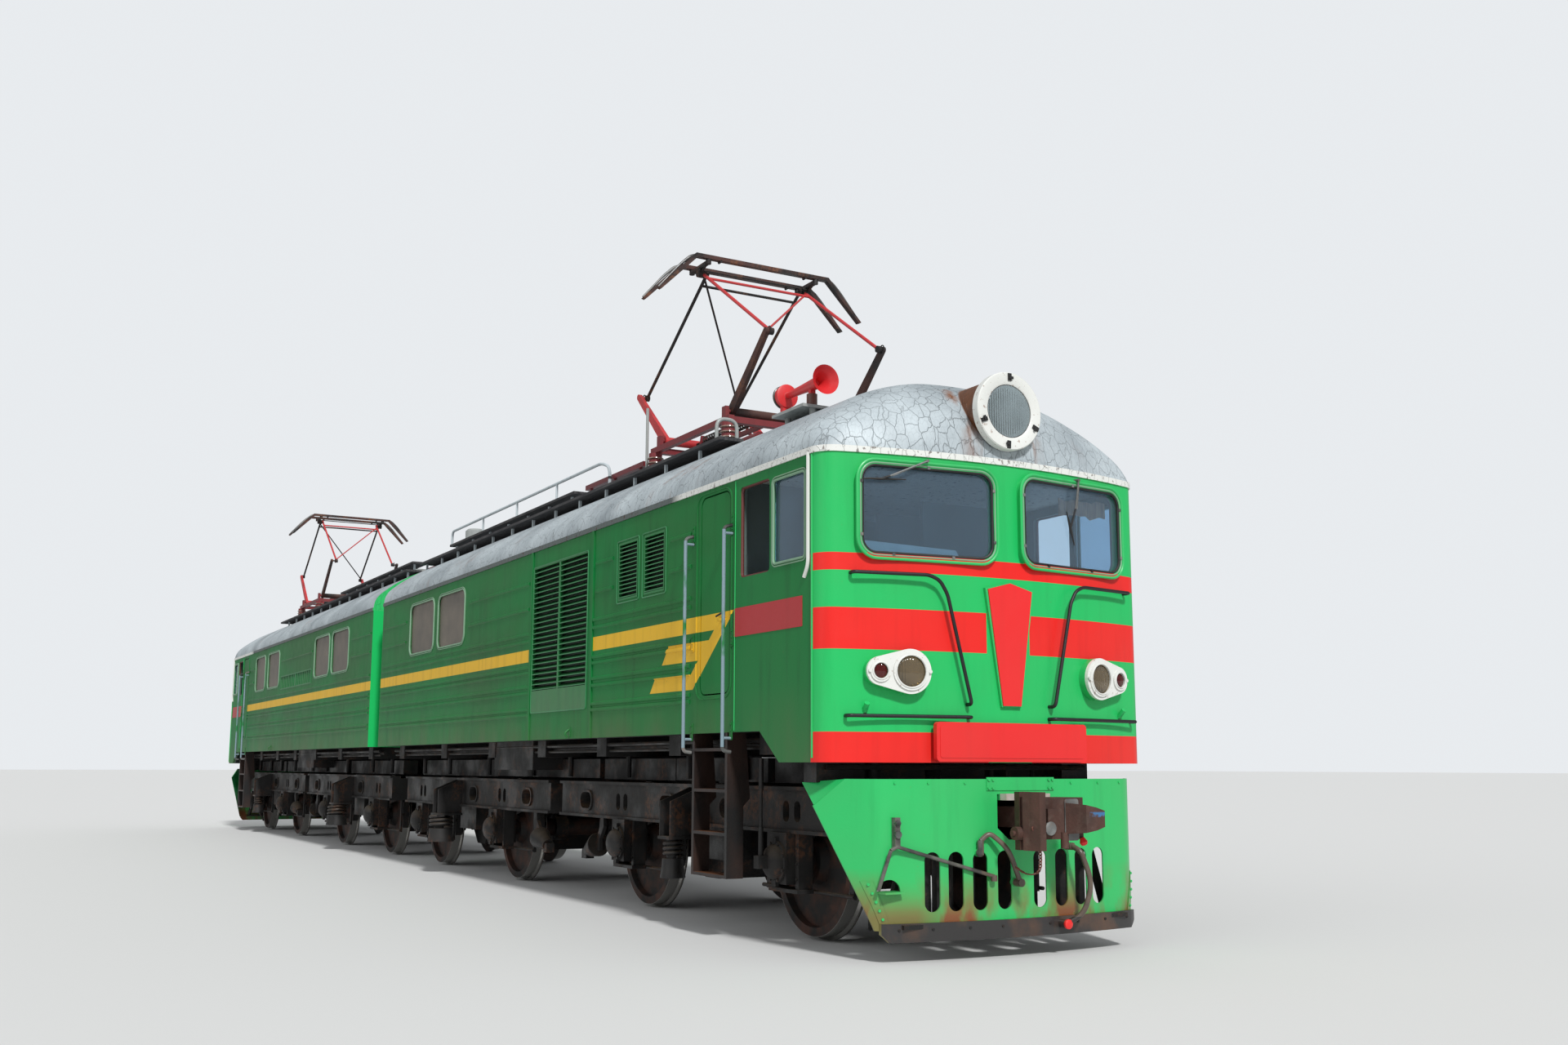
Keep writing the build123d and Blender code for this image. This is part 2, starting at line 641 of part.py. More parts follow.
# Pantograph: base on insulators, two lower arms, two upper frames and the head
PANTO_X = 8950
SHAFT_X = 750
SHAFT_Z = 4768
LOWER_L = 940
UPPER_L = 1756
LOWER_ANGLE = radians(42)
ARM_Y = 645
ARM_T = 40
FRONT_Y = 600
REAR_Y = 555
EYE_T = 30
KNEE_PIN_R = 14
TUBE_R = 17
TIE_INSET = 150
BRACE_INSET = 60
KNEE_X = SHAFT_X + LOWER_L * cos(LOWER_ANGLE)
KNEE_Z = SHAFT_Z + LOWER_L * sin(LOWER_ANGLE)
UPPER_ANGLE = atan2(sqrt(UPPER_L**2 - KNEE_X**2), KNEE_X)
HEAD_Z = KNEE_Z + UPPER_L * sin(UPPER_ANGLE)
BASE_LOW = 4640
BASE_HIGH = 4700
INSULATOR_R = 70
BASE_HALF_Y = 700

with BuildPart() as panto_base:
    for side in (RIGHT, LEFT):
        block((PANTO_X - 900, PANTO_X + 900), (side * 690, side * 750), (BASE_LOW, BASE_HIGH))
        for end in (-1, 1):
            x = PANTO_X + end * SHAFT_X
            block((x - 40, x + 40), (side * 690, side * 730), (BASE_HIGH, SHAFT_Z + 45))
            rod((x + end * 90, side * 720, ROOF_Z + 640), (x + end * 90, side * 720, BASE_LOW), INSULATOR_R)
    for end in (-1, 1):
        block(
            (PANTO_X + end * 820 - 40, PANTO_X + end * 820 + 40),
            (-690, 690),
            (BASE_LOW, BASE_HIGH),
        )
        rod(
            (PANTO_X + end * SHAFT_X, -690, SHAFT_Z),
            (PANTO_X + end * SHAFT_X, 690, SHAFT_Z),
            22,
        )
    with BuildSketch(Plane(origin=(PANTO_X - 1200, 0, ROOF_Z), x_dir=(0, 1, 0), z_dir=(1, 0, 0))):
        add(arch_face(HALF_W, ROOF_RISE, ROOF_SIDE_R))
    extrude(amount=2400, mode=Mode.SUBTRACT)
write_both(panto_base.part, "panto_base")

for end, name in ((1, "panto_lower_front"), (-1, "panto_lower_rear")):
    with BuildPart() as lower_arm:
        shaft_x = PANTO_X + end * SHAFT_X
        knee_x = PANTO_X + end * KNEE_X
        for side in (RIGHT, LEFT):
            with BuildSketch(Plane.XZ.offset(-side * ARM_Y - ARM_T / 2)):
                with Locations((shaft_x, SHAFT_Z)):
                    Circle(55)
                with Locations((knee_x, KNEE_Z)):
                    Circle(32)
                make_hull()
            extrude(amount=ARM_T)
            pin_end = (FRONT_Y if end == 1 else REAR_Y) - EYE_T / 2 - 6
            rod((knee_x, side * ARM_Y, KNEE_Z), (knee_x, side * pin_end, KNEE_Z), KNEE_PIN_R)
        rod((shaft_x, -ARM_Y, SHAFT_Z), (shaft_x, ARM_Y, SHAFT_Z), 45)
        rod((shaft_x, -ARM_Y - 50, SHAFT_Z), (shaft_x, ARM_Y + 50, SHAFT_Z), 22 + PIN_GAP, Mode.SUBTRACT)
    write_both(lower_arm.part, name)

for end, name, eye_y in ((1, "panto_upper_front", FRONT_Y), (-1, "panto_upper_rear", REAR_Y)):
    with BuildPart() as upper_frame:
        knee_x = PANTO_X + end * KNEE_X
        for side in (RIGHT, LEFT):
            for x, z in ((knee_x, KNEE_Z), (PANTO_X, HEAD_Z)):
                rod((x, side * eye_y - EYE_T / 2, z), (x, side * eye_y + EYE_T / 2, z), 28)
            rod((knee_x, side * eye_y, KNEE_Z), (PANTO_X, side * eye_y, HEAD_Z), TUBE_R)
        along = TIE_INSET / UPPER_L
        tie_x = PANTO_X + (knee_x - PANTO_X) * along
        tie_z = HEAD_Z + (KNEE_Z - HEAD_Z) * along
        rod((tie_x, -eye_y, tie_z), (tie_x, eye_y, tie_z), TUBE_R - 3)
        along = BRACE_INSET / UPPER_L
        high_x = PANTO_X + (knee_x - PANTO_X) * along
        high_z = HEAD_Z + (KNEE_Z - HEAD_Z) * along
        low_x = knee_x + (PANTO_X - knee_x) * along
        low_z = KNEE_Z + (HEAD_Z - KNEE_Z) * along
        rod((high_x, end * eye_y, high_z), (low_x, -end * eye_y, low_z), TUBE_R - 6)
        for side in (RIGHT, LEFT):
            for x, z, bore in ((knee_x, KNEE_Z, KNEE_PIN_R + PIN_GAP), (PANTO_X, HEAD_Z, KNEE_PIN_R + PIN_GAP)):
                rod((x, side * eye_y - 40, z), (x, side * eye_y + 40, z), bore, Mode.SUBTRACT)
    write_both(upper_frame.part, name)

STRIP_X = 190
STRIP_Z = 6510
HORN_Y = 1190
HORN_Z = 6090

with BuildPart() as panto_head:
    for side in (RIGHT, LEFT):
        pin_in = side * (FRONT_Y - EYE_T / 2 - 2)
        cheek = (side * (FRONT_Y + EYE_T / 2 + 5), side * (FRONT_Y + EYE_T / 2 + 25))
        rod((PANTO_X, pin_in, HEAD_Z), (PANTO_X, cheek[1], HEAD_Z), KNEE_PIN_R)
        block((PANTO_X - 30, PANTO_X + 30), cheek, (HEAD_Z - 25, STRIP_Z - 30))
        block((PANTO_X - STRIP_X - 20, PANTO_X + STRIP_X + 20), cheek, (STRIP_Z - 60, STRIP_Z - 30))
    for end in (-1, 1):
        x = PANTO_X + end * STRIP_X
        with BuildSketch(Plane.YZ.offset(x - 30)):
            with BuildLine():
                Polyline(
                    (-HORN_Y, HORN_Z),
                    (-HORN_Y + 30, HORN_Z - 10),
                    (-760, STRIP_Z - 30),
                    (760, STRIP_Z - 30),
                    (HORN_Y - 30, HORN_Z - 10),
                    (HORN_Y, HORN_Z),
                    (780, STRIP_Z + 10),
                    (-780, STRIP_Z + 10),
                    close=True,
                )
            make_face()
        extrude(amount=60)
write_both(panto_head.part, "panto_head")

# Roof gear: horn on its board, bus bar on insulators, boxes and the tank
HORN_AXIS_Y = -800
with BuildPart() as roof_gear:
    block((11060, 11420), (-930, -670), (4360, 4420))
    rod((11245, HORN_AXIS_Y, 4400), (11245, HORN_AXIS_Y, 4520), 30)
    rod((10960, HORN_AXIS_Y, 4470), (11090, HORN_AXIS_Y, 4500), 105)
    with BuildSketch(Plane(origin=(11080, HORN_AXIS_Y, 4498), z_dir=(cos(0.15), 0, sin(0.15)))):
        Circle(30)
    with BuildSketch(Plane(origin=(11693, HORN_AXIS_Y, 4590), z_dir=(cos(0.15), 0, sin(0.15)))):
        Circle(128)
    loft()
    for x in (1400, 3400, 5400):
        rod((x, 0, ROOF_Z + 740), (x, 0, 4700), 60)
    block((1000, 6000), (-30, 30), (4700, 4740))
    block((4200, 4900), (-500, -150), (4440, 4640))
    block((2200, 2700), (150, 520), (4440, 4640))
    with BuildSketch(Plane(origin=(END_X, 0, ROOF_Z), x_dir=(0, 1, 0), z_dir=(1, 0, 0))):
        add(arch_face(HALF_W, ROOF_RISE, ROOF_SIDE_R))
    extrude(amount=DOME_X - END_X, mode=Mode.SUBTRACT)
write_both(roof_gear.part, "roof_gear")

# Bogies
# Name, middle, x of the frame's front and rear ends from it, front end carries the pilot
COUPLER_Z = 1068
COUPLER_FACE = 13760
DRAFT_X = 12760
DRAFT_PIN_R = 35
SHANK_R = 75
FRAME_ENDS = {"outer": (3000, -3330), "inner": (3360, -2520)}
HOLES = (-2610, -620, 620, 2610)
SLOTS = (-1700, 1700)
HOLE_W = 290
HOLE_H = 166
HOLE_Z = 1023
SPRING_Y = 1345


LINK_Z = 1000
LINK_R = 110
LINK_T = 40
LINK_PIN_R = 45
LINK_GAP = 10
LINK_X = (OUTER_BOGIE_X + INNER_BOGIE_X) / 2


def link(middle, edge, reach, male):
    """Half of the joint to the next bogie, from the end beam's edge out to the pin at reach"""
    low = LINK_Z - LINK_T / 2
    high = LINK_Z + LINK_T / 2
    under = (low - SEAT_GAP - LINK_T, low - SEAT_GAP)
    over = (high + SEAT_GAP, high + SEAT_GAP + LINK_T)
    pin_x = middle + reach
    for bottom, top in ((low, high),) if male else (under, over):
        block((middle + edge, pin_x), (-LINK_R, LINK_R), (bottom, top))
        rod((pin_x, 0, bottom), (pin_x, 0, top), LINK_R)
    if male:
        rod((pin_x, 0, under[0] - 10), (pin_x, 0, over[1] + 10), LINK_PIN_R)
    else:
        rod((pin_x, 0, under[0]), (pin_x, 0, over[1]), LINK_PIN_R + LINK_GAP, Mode.SUBTRACT)


def bogie(middle, front, rear, outer, rear_pin):
    """A bogie's frame with everything that hangs on it but the wheelsets"""
    with BuildPart() as frame:
        for side in (RIGHT, LEFT):
            left_face = FRAME_OUT if side == LEFT else -FRAME_IN
            with BuildSketch(Plane.XZ.offset(-left_face)):
                with Locations(((front + rear) / 2 + middle, (FRAME_LOW + FRAME_HIGH) / 2)):
                    Rectangle(front - rear, FRAME_HIGH - FRAME_LOW)
                with Locations(*[(middle + x, HOLE_Z) for x in HOLES if rear + 150 < x < front - 150]):
                    RectangleRounded(HOLE_W, HOLE_H, HOLE_H / 2 - 2, mode=Mode.SUBTRACT)
                for x in SLOTS:
                    with Locations((middle + x - 90, HOLE_Z), (middle + x + 90, HOLE_Z)):
                        RectangleRounded(100, HOLE_H, 48, mode=Mode.SUBTRACT)
            extrude(amount=FRAME_OUT - FRAME_IN)
            for end in (-1, 1):
                axle_x = middle + end * WHEELBASE / 2
                box_y = (side * 940, side * BOX_FACE)
                block((axle_x - 190, axle_x + 190), box_y, (AXLE_Z - 190, FRAME_LOW))
                rod((axle_x, side * BOX_FACE, AXLE_Z), (axle_x, side * (BOX_FACE + 45), AXLE_Z), 165)
                rod(
                    (axle_x, side * 930, AXLE_Z),
                    (axle_x, side * (JOURNAL_END + 5), AXLE_Z),
                    JOURNAL_R + PIN_GAP,
                    Mode.SUBTRACT,
                )
            bracket_y = (side * FRAME_OUT, side * (SPRING_Y + 60))
            block((middle - 110, middle + 110), bracket_y, (740, 1000))
            spring_foot = (middle, side * SPRING_Y, 400)
            rod(spring_foot, (middle, side * SPRING_Y, 740), 95)
        for x0, x1, low, high in ((front - 150, front, FRAME_LOW, 1180), (rear, rear + 150, FRAME_LOW, 1180)):
            block((middle + x0, middle + x1), (-FRAME_IN, FRAME_IN), (low, high))
        block((middle - 330, middle + 330), (-FRAME_IN, FRAME_IN), (560, PIVOT_FOOT))
        for end in (-1, 1):
            motor_x = middle + end * 860
            with BuildSketch(Plane.XZ.offset(-520)):
                with Locations((motor_x, 690)):
                    RegularPolygon(400, 8, rotation=22.5)
            extrude(amount=1040)
            nose = (middle + end * 330, middle + end * 520)
            block(nose, (-150, 150), (600, 800))
            axle_x = middle + end * WHEELBASE / 2
            for side in (RIGHT, LEFT):
                block((motor_x, axle_x), (side * 260, side * 420), (560, 700))
                rod((axle_x, side * 260, AXLE_Z), (axle_x, side * 420, AXLE_Z), 155)
            rod((axle_x, -500, AXLE_Z), (axle_x, 500, AXLE_Z), AXLE_R + PIN_GAP, Mode.SUBTRACT)
        link(middle, rear, (LINK_X if outer else 0) - middle, rear_pin)
        if not outer:
            link(middle, front, LINK_X - middle, False)
        if outer:
            pocket = (middle + front - 240, middle + front)
            block(pocket, (-200, 200), (COUPLER_Z - 200, COUPLER_Z + SHANK_R + 40))
            block(
                (pocket[0] - 60, pocket[1] + 5),
                (-SHANK_R - 40, SHANK_R + 40),
                (COUPLER_Z - SHANK_R - SEAT_GAP, COUPLER_Z + SHANK_R + SEAT_GAP),
                Mode.SUBTRACT,
            )
            rod((DRAFT_X, 0, COUPLER_Z - 100), (DRAFT_X, 0, COUPLER_Z + 100), DRAFT_PIN_R)
            block((middle + front - 380, pocket[0]), (-200, 200), (COUPLER_Z - 200, COUPLER_Z - SHANK_R - SEAT_GAP))
            block((middle + front - 380, pocket[0]), (-200, 200), (COUPLER_Z + SHANK_R + SEAT_GAP, COUPLER_Z + SHANK_R + 40))
    return frame.part


outer_frame = bogie(OUTER_BOGIE_X, *FRAME_ENDS["outer"], True, True)
pin_frame = bogie(INNER_BOGIE_X, *FRAME_ENDS["inner"], False, True)
eye_frame = bogie(INNER_BOGIE_X, *FRAME_ENDS["inner"], False, False)
write(outer_frame, "bogie_1")
write(pin_frame, "bogie_2")
write(eye_frame.rotate(Axis.Z, 180), "bogie_3")
write(outer_frame.rotate(Axis.Z, 180), "bogie_4")

# Wheelsets: axle, journals and two flanged wheels
with BuildPart() as wheelset:
    with BuildSketch(Plane.YZ):
        with BuildLine():
            Polyline(
                (0, 0),
                (0, AXLE_R),
                (WHEEL_IN - 10, AXLE_R),
                (WHEEL_IN - 10, 190),
                (WHEEL_IN + 50, 190),
                (WHEEL_IN + 40, TREAD_R - 80),
                (WHEEL_IN, TREAD_R - 75),
                (WHEEL_IN, TREAD_R + FLANGE),
                (WHEEL_IN + 22, TREAD_R + FLANGE),
                (WHEEL_IN + 36, TREAD_R + 3),
                (WHEEL_OUT, TREAD_R - 4),
                (WHEEL_OUT, TREAD_R - 75),
                (WHEEL_IN + 76, TREAD_R - 80),
                (WHEEL_IN + 90, 190),
                (WHEEL_OUT + 20, 160),
                (WHEEL_OUT + 20, JOURNAL_R),
                (JOURNAL_END, JOURNAL_R),
                (JOURNAL_END, 0),
                close=True,
            )
        make_face()
    revolve(axis=Axis.Y)
    mirror(about=Plane.XZ)
number = 0
for middle in (OUTER_BOGIE_X, INNER_BOGIE_X, -INNER_BOGIE_X, -OUTER_BOGIE_X):
    for end in (1, -1):
        number += 1
        axle_x = middle + end * WHEELBASE / 2
        write(wheelset.part.moved(Location((axle_x, 0, AXLE_Z))), f"wheelset_{number}")

# Pilot on the outer bogie: folded plate with slots and the coupler's opening, scraper board
PILOT_X = 13200
PILOT_T = 12
PILOT_TOP = 1288
PILOT_LOW = 300
PILOT_HALF = 1450
PILOT_FOOT_HALF = 1150
COUPLER_HALF = 270
COUPLER_LOW = 850
COUPLER_HIGH = 1210
PILOT_SLOTS = (160, 360, 570, 770)

with BuildPart() as pilot:
    with BuildSketch(Plane.YZ.offset(PILOT_X - PILOT_T)):
        with BuildLine():
            Polyline(
                (-PILOT_HALF, PILOT_TOP),
                (PILOT_HALF, PILOT_TOP),
                (PILOT_HALF, PILOT_TOP - 200),
                (PILOT_FOOT_HALF, PILOT_LOW - 40),
                (-PILOT_FOOT_HALF, PILOT_LOW - 40),
                (-PILOT_HALF, PILOT_TOP - 200),
                close=True,
            )
        make_face()
        with Locations((0, (COUPLER_LOW + COUPLER_HIGH) / 2)):
            Rectangle(2 * COUPLER_HALF, COUPLER_HIGH - COUPLER_LOW, mode=Mode.SUBTRACT)
        for y in PILOT_SLOTS:
            with Locations((y, 545), (-y, 545)):
                SlotOverall(430, 150, rotation=90, mode=Mode.SUBTRACT)
    extrude(amount=PILOT_T)
    block((PILOT_X, PILOT_X + 50), (-PILOT_FOOT_HALF, PILOT_FOOT_HALF), (148, PILOT_LOW))
    for side in (RIGHT, LEFT):
        strut_y = (side * (FRAME_IN + 20), side * (FRAME_OUT - 20))
        block((OUTER_BOGIE_X + 3000, PILOT_X - PILOT_T), strut_y, (FRAME_LOW + 20, FRAME_HIGH - 20))
write_both(pilot.part, "pilot")

# Automatic coupler: shank in its pocket and the cast head with its claw
with BuildPart() as coupler:
    rod((DRAFT_X, 0, COUPLER_Z - SHANK_R), (DRAFT_X, 0, COUPLER_Z + SHANK_R), SHANK_R)
    block((DRAFT_X, 13450), (-SHANK_R, SHANK_R), (COUPLER_Z - SHANK_R, COUPLER_Z + SHANK_R))
    rod((DRAFT_X, 0, COUPLER_Z - 100), (DRAFT_X, 0, COUPLER_Z + 100), DRAFT_PIN_R + PIN_GAP, Mode.SUBTRACT)
    block((13450, 13620), (-200, 190), (COUPLER_Z - 150, COUPLER_Z + 150))
    block((13620, COUPLER_FACE), (-200, -60), (COUPLER_Z - 150, COUPLER_Z + 150))
    block((13620, COUPLER_FACE - 40), (60, 330), (COUPLER_Z - 100, COUPLER_Z + 100))
write_both(coupler.part, "coupler")
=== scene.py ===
import math
import random

import bmesh
import bpy
from mathutils import Matrix, Vector
from mathutils.geometry import convex_hull_2d, tessellate_polygon


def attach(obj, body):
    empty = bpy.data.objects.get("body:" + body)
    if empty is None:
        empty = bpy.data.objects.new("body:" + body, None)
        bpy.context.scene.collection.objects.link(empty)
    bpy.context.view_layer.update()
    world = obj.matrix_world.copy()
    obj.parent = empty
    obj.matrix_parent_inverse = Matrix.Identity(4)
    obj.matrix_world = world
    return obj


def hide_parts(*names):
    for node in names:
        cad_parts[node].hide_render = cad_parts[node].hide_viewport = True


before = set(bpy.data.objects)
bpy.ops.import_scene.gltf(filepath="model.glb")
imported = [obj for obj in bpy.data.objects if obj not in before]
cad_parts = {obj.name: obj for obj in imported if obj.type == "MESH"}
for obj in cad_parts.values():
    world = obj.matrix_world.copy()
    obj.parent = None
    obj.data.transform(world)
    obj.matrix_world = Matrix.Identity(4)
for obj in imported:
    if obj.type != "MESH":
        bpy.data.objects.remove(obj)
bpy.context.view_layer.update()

# All positions are written for the front section, in metres. The rear one is the same turned half a turn.
NOSE_X, NOSE_R = 13.087, 5.34
BOW_X = NOSE_X - NOSE_R
PILOT_FACE_X = 13.2
PILOT_BOW_X = PILOT_FACE_X - NOSE_R
HALF_W, END_X, CORNER_X = 1.54, 0.3, 12.72
EAVE_Z, ROOF_Z = 3.695, 3.743
LAMP_X, LAMP_Z = 13.092, 4.118
PARTNER = {"section_a": "section_b", "bogie_1": "bogie_4", "bogie_2": "bogie_3", "coupler_a": "coupler_b"}
for part in ("lower_front", "lower_rear", "upper_front", "upper_rear", "head"):
    PARTNER[f"panto_{part}_a"] = f"panto_{part}_b"


def rgb(red, green, blue):
    """A colour as a screen shows it, 0 to 255, as the linear values that nodes take"""
    shares = (red / 255, green / 255, blue / 255)
    return (*[s / 12.92 if s <= 0.04045 else ((s + 0.055) / 1.055) ** 2.4 for s in shares], 1.0)


# The green paint is given twice: a bright copy as it looks in sunlight, painted light, for the front and the
# end walls, and a darker copy as it looks in shade, painted shade together with some weathering, for the
# sides.
GREEN_SIDE_SHADED, GREEN_OLIVE, GREEN_SUNLIT = rgb(14, 114, 54), rgb(38, 100, 50), rgb(30, 180, 94)
YELLOW, WHITE, STEEL = rgb(226, 178, 44), rgb(214, 215, 210), rgb(150, 148, 144)
RED_BAND, RED_PLATE, RED_SIDE_PLATE = rgb(224, 34, 30), rgb(222, 24, 26), rgb(172, 34, 40)
HORN_RED, WINE = rgb(206, 36, 42), rgb(116, 30, 38)
SILVER, SILVER_DARK, CAB_GREY = rgb(186, 196, 200), rgb(132, 141, 146), rgb(84, 96, 92)
RUST, RUST_DARK, DUST = rgb(122, 74, 40), rgb(70, 42, 30), rgb(112, 96, 76)
# The near-black is soot and oil on most parts, and painted shade behind the slats of the air intakes.
BLACK, SOOT_AND_SHADE = rgb(30, 28, 27), rgb(16, 15, 15)


# Materials


class Finish:
    """A procedural material, built up from nodes around one shader"""

    def __init__(self, name, roughness=0.5, metallic=0.0, specular=0.5):
        self.material = bpy.data.materials.new(name)
        self.material.use_nodes = True
        self.tree = self.material.node_tree
        self.shader = self.tree.nodes["Principled BSDF"]
        self.plain("Roughness", roughness)
        self.plain("Metallic", metallic)
        self.plain("Specular IOR Level", specular)
        self.where = self.add("ShaderNodeTexCoord").outputs["Object"]
        world_x, world_y, self.z = self.parts(self.where)
        self.x = self.math("ABSOLUTE", world_x)
        self.y = self.times(world_y, self.math("SIGN", world_x))
        self.out_y = self.math("ABSOLUTE", world_y)
        self.normal = None

    def add(self, kind, **inputs):
        made = self.tree.nodes.new(kind)
        for name, value in inputs.items():
            self.feed(made.inputs[name.replace("_", " ")], value)
        return made

    def feed(self, socket, value):
        if isinstance(value, bpy.types.NodeSocket):
            self.tree.links.new(value, socket)
        else:
            socket.default_value = value

    def plain(self, name, value):
        """One value over the whole surface, set on the shader itself"""
        self.shader.inputs[name].default_value = value

    def parts(self, vector):
        return self.add("ShaderNodeSeparateXYZ", Vector=vector).outputs

    def math(self, operation, *values):
        made = self.tree.nodes.new("ShaderNodeMath")
        made.operation = operation
        for slot, value in enumerate(values):
            self.feed(made.inputs[slot], value)
        return made.outputs[0]

    def times(self, first, second):
        return self.math("MULTIPLY", first, second)

    def minus(self, first, second):
        return self.math("SUBTRACT", first, second)

    def radius(self, first, second):
        """Distance from an axis, given the two offsets from it"""
        return self.math("SQRT", self.math("ADD", self.times(first, first), self.times(second, second)))

    def rise(self, value, low, high):
        """0 where the value is at low or less, 1 at high or more; falls if low is above high"""
        made = self.add("ShaderNodeMapRange", Value=value)
        self.feed(made.inputs["From Min"], low)
        self.feed(made.inputs["From Max"], high)
        return made.outputs["Result"]

    def zone(self, soft=0.001, **bounds):
        """1 between the two bounds of x, y, z or out_y; None leaves an end open"""
        masks = []
        for axis, (low, high) in bounds.items():
            value = getattr(self, axis)
            if low is not None:
                masks.append(self.rise(value, low - soft, low + soft))
            if high is not None:
                masks.append(self.rise(value, high + soft, high - soft))
        return self.both(*masks)

    def both(self, *masks):
        made = masks[0]
        for mask in masks[1:]:
            made = self.times(made, mask)
        return made

    def either(self, *masks):
        made = masks[0]
        for mask in masks[1:]:
            made = self.math("MAXIMUM", made, mask)
        return made

    def unless(self, mask):
        return self.minus(1.0, mask)

    def noise(self, scale, stretch=(1, 1, 1), detail=3.0, roughness=0.55):
        spread = self.add("ShaderNodeMapping", Vector=self.where, Scale=stretch)
        made = self.add("ShaderNodeTexNoise", Vector=spread.outputs[0], Scale=scale, Detail=detail)
        made.inputs["Roughness"].default_value = roughness
        return made.outputs["Fac"]

    def patches(self, low, high, scale, stretch=(1, 1, 1), detail=3.0, roughness=0.55):
        """Blotches: 1 where a noise is at high or more, 0 at low or less"""
        return self.rise(self.noise(scale, stretch, detail, roughness), low, high)

    def cracks(self, scale, stretch, width):
        """1 along a net of fine cracks"""
        spread = self.add("ShaderNodeMapping", Vector=self.where, Scale=stretch)
        wobble = self.add("ShaderNodeTexNoise", Vector=spread.outputs[0], Scale=scale * 1.5, Detail=3.0)
        shifted = self.add("ShaderNodeVectorMath")
        shifted.operation = "MULTIPLY_ADD"
        for slot, value in enumerate((wobble.outputs["Color"], (0.5 / scale,) * 3, spread.outputs[0])):
            self.feed(shifted.inputs[slot], value)
        net = self.add("ShaderNodeTexVoronoi", Vector=shifted.outputs[0], Scale=scale)
        net.feature = "DISTANCE_TO_EDGE"
        return self.rise(net.outputs["Distance"], width, 0.0)

    def mix(self, share, first, second):
        made = self.tree.nodes.new("ShaderNodeMix")
        made.data_type = "RGBA"
        for slot, value in ((0, share), (6, first), (7, second)):
            self.feed(made.inputs[slot], value)
        return made.outputs[2]

    def over(self, under, paint, mask, share=1.0):
        """A paint laid over another one where the mask is 1, as thick as the share"""
        return self.mix(mask if share == 1.0 else self.times(mask, share), under, paint)

    def level(self, share, first, second):
        """A number between two values"""
        made = self.tree.nodes.new("ShaderNodeMix")
        for slot, value in ((0, share), (2, first), (3, second)):
            self.feed(made.inputs[slot], value)
        return made.outputs[0]

    def upward(self):
        """1 on faces that look up, 0 on upright ones"""
        return self.rise(self.parts(self.add("ShaderNodeNewGeometry").outputs["Normal"])[2], 0.1, 0.85)

    def bump(self, height, distance):
        made = self.add("ShaderNodeBump", Height=height, Distance=distance)
        if self.normal is not None:
            self.feed(made.inputs["Normal"], self.normal)
        self.normal = made.outputs[0]
        self.feed(self.shader.inputs["Normal"], self.normal)

    def colour(self, value):
        self.feed(self.shader.inputs["Base Color"], value)

    def rough(self, value):
        self.feed(self.shader.inputs["Roughness"], value)


def weathered(mat, paint, streaks=0.35, rust=0.3, dust_below=None, faded=0.10):
    """Paint with uneven fading, runs of dirt, rust spots and dust near its lower edge"""
    shade = mat.over(paint, DUST, mat.patches(0.3, 0.7, 0.9, detail=4.0), faded)
    shade = mat.over(shade, SOOT_AND_SHADE, mat.patches(0.52, 0.78, 9.0, (1, 1, 0.09), detail=5.0), streaks)
    speck = mat.patches(0.66, 0.72, 28.0, detail=6.0, roughness=0.7)
    patch = mat.patches(0.50, 0.62, 1.7, (1, 1, 0.6), detail=2.0)
    shade = mat.over(shade, RUST, mat.both(speck, patch), rust)
    if dust_below is not None:
        full, none = dust_below
        uneven = mat.patches(0.25, 0.75, 3.0, (1, 1, 0.4))
        shade = mat.over(shade, DUST, mat.both(mat.rise(mat.z, none, full), uneven), 0.35)
    return shade


def paint_surface(mat, low=0.28, high=0.5, waves=0.003, coat=0.12):
    """The sheen and the unevenness of many coats of brushed gloss paint on sheet"""
    sheen = mat.level(mat.noise(5.0, detail=4.0), low, high)
    mat.rough(sheen)
    mat.plain("Coat Weight", coat)
    mat.plain("Coat Roughness", 0.2)
    mat.bump(mat.noise(2.2, detail=2.0), waves)
    mat.bump(mat.noise(60.0), 0.0006)
    return sheen


STRIPE_LOW, STRIPE_HIGH, STRIPE_FOOT, LEG_WIDTH = 2.496, 2.631, 2.018, 0.196
SLANT, TIP_X, TIP_Z = 1.216, 10.73, 1.998


def stripe_mask(mat):
    """The yellow stripe of the sides, with its slanted end of three bars beside the right door"""
    stripe = mat.zone(z=(STRIPE_LOW, STRIPE_HIGH))
    behind_tip = mat.minus(mat.math("MULTIPLY_ADD", mat.z, SLANT, TIP_X - SLANT * TIP_Z), mat.x)
    in_leg = mat.rise(behind_tip, LEG_WIDTH + 0.001, LEG_WIDTH - 0.001)
    leg = mat.both(in_leg, mat.zone(z=(STRIPE_FOOT, STRIPE_HIGH)))
    bars = []
    for start, low, high in ((10.13, 2.258, 2.418), (9.88, STRIPE_FOOT, 2.148)):
        edge = mat.math("MULTIPLY_ADD", mat.z, 0.85, start - 0.85 * low)
        bars.append(mat.both(mat.rise(mat.minus(mat.x, edge), -0.001, 0.001), mat.zone(z=(low, high))))
    before_tip = mat.rise(behind_tip, -0.001, 0.001)
    right = mat.both(mat.either(stripe, leg, *bars), before_tip, mat.zone(y=(None, 0)))
    left = mat.both(stripe, mat.zone(x=(None, 10.8), y=(0, None)))
    grille = mat.zone(x=(6.69, 8.505), y=(None, 0))
    return mat.both(mat.either(right, left), mat.unless(grille), mat.patches(0.24, 0.30, 45.0, detail=5.0))


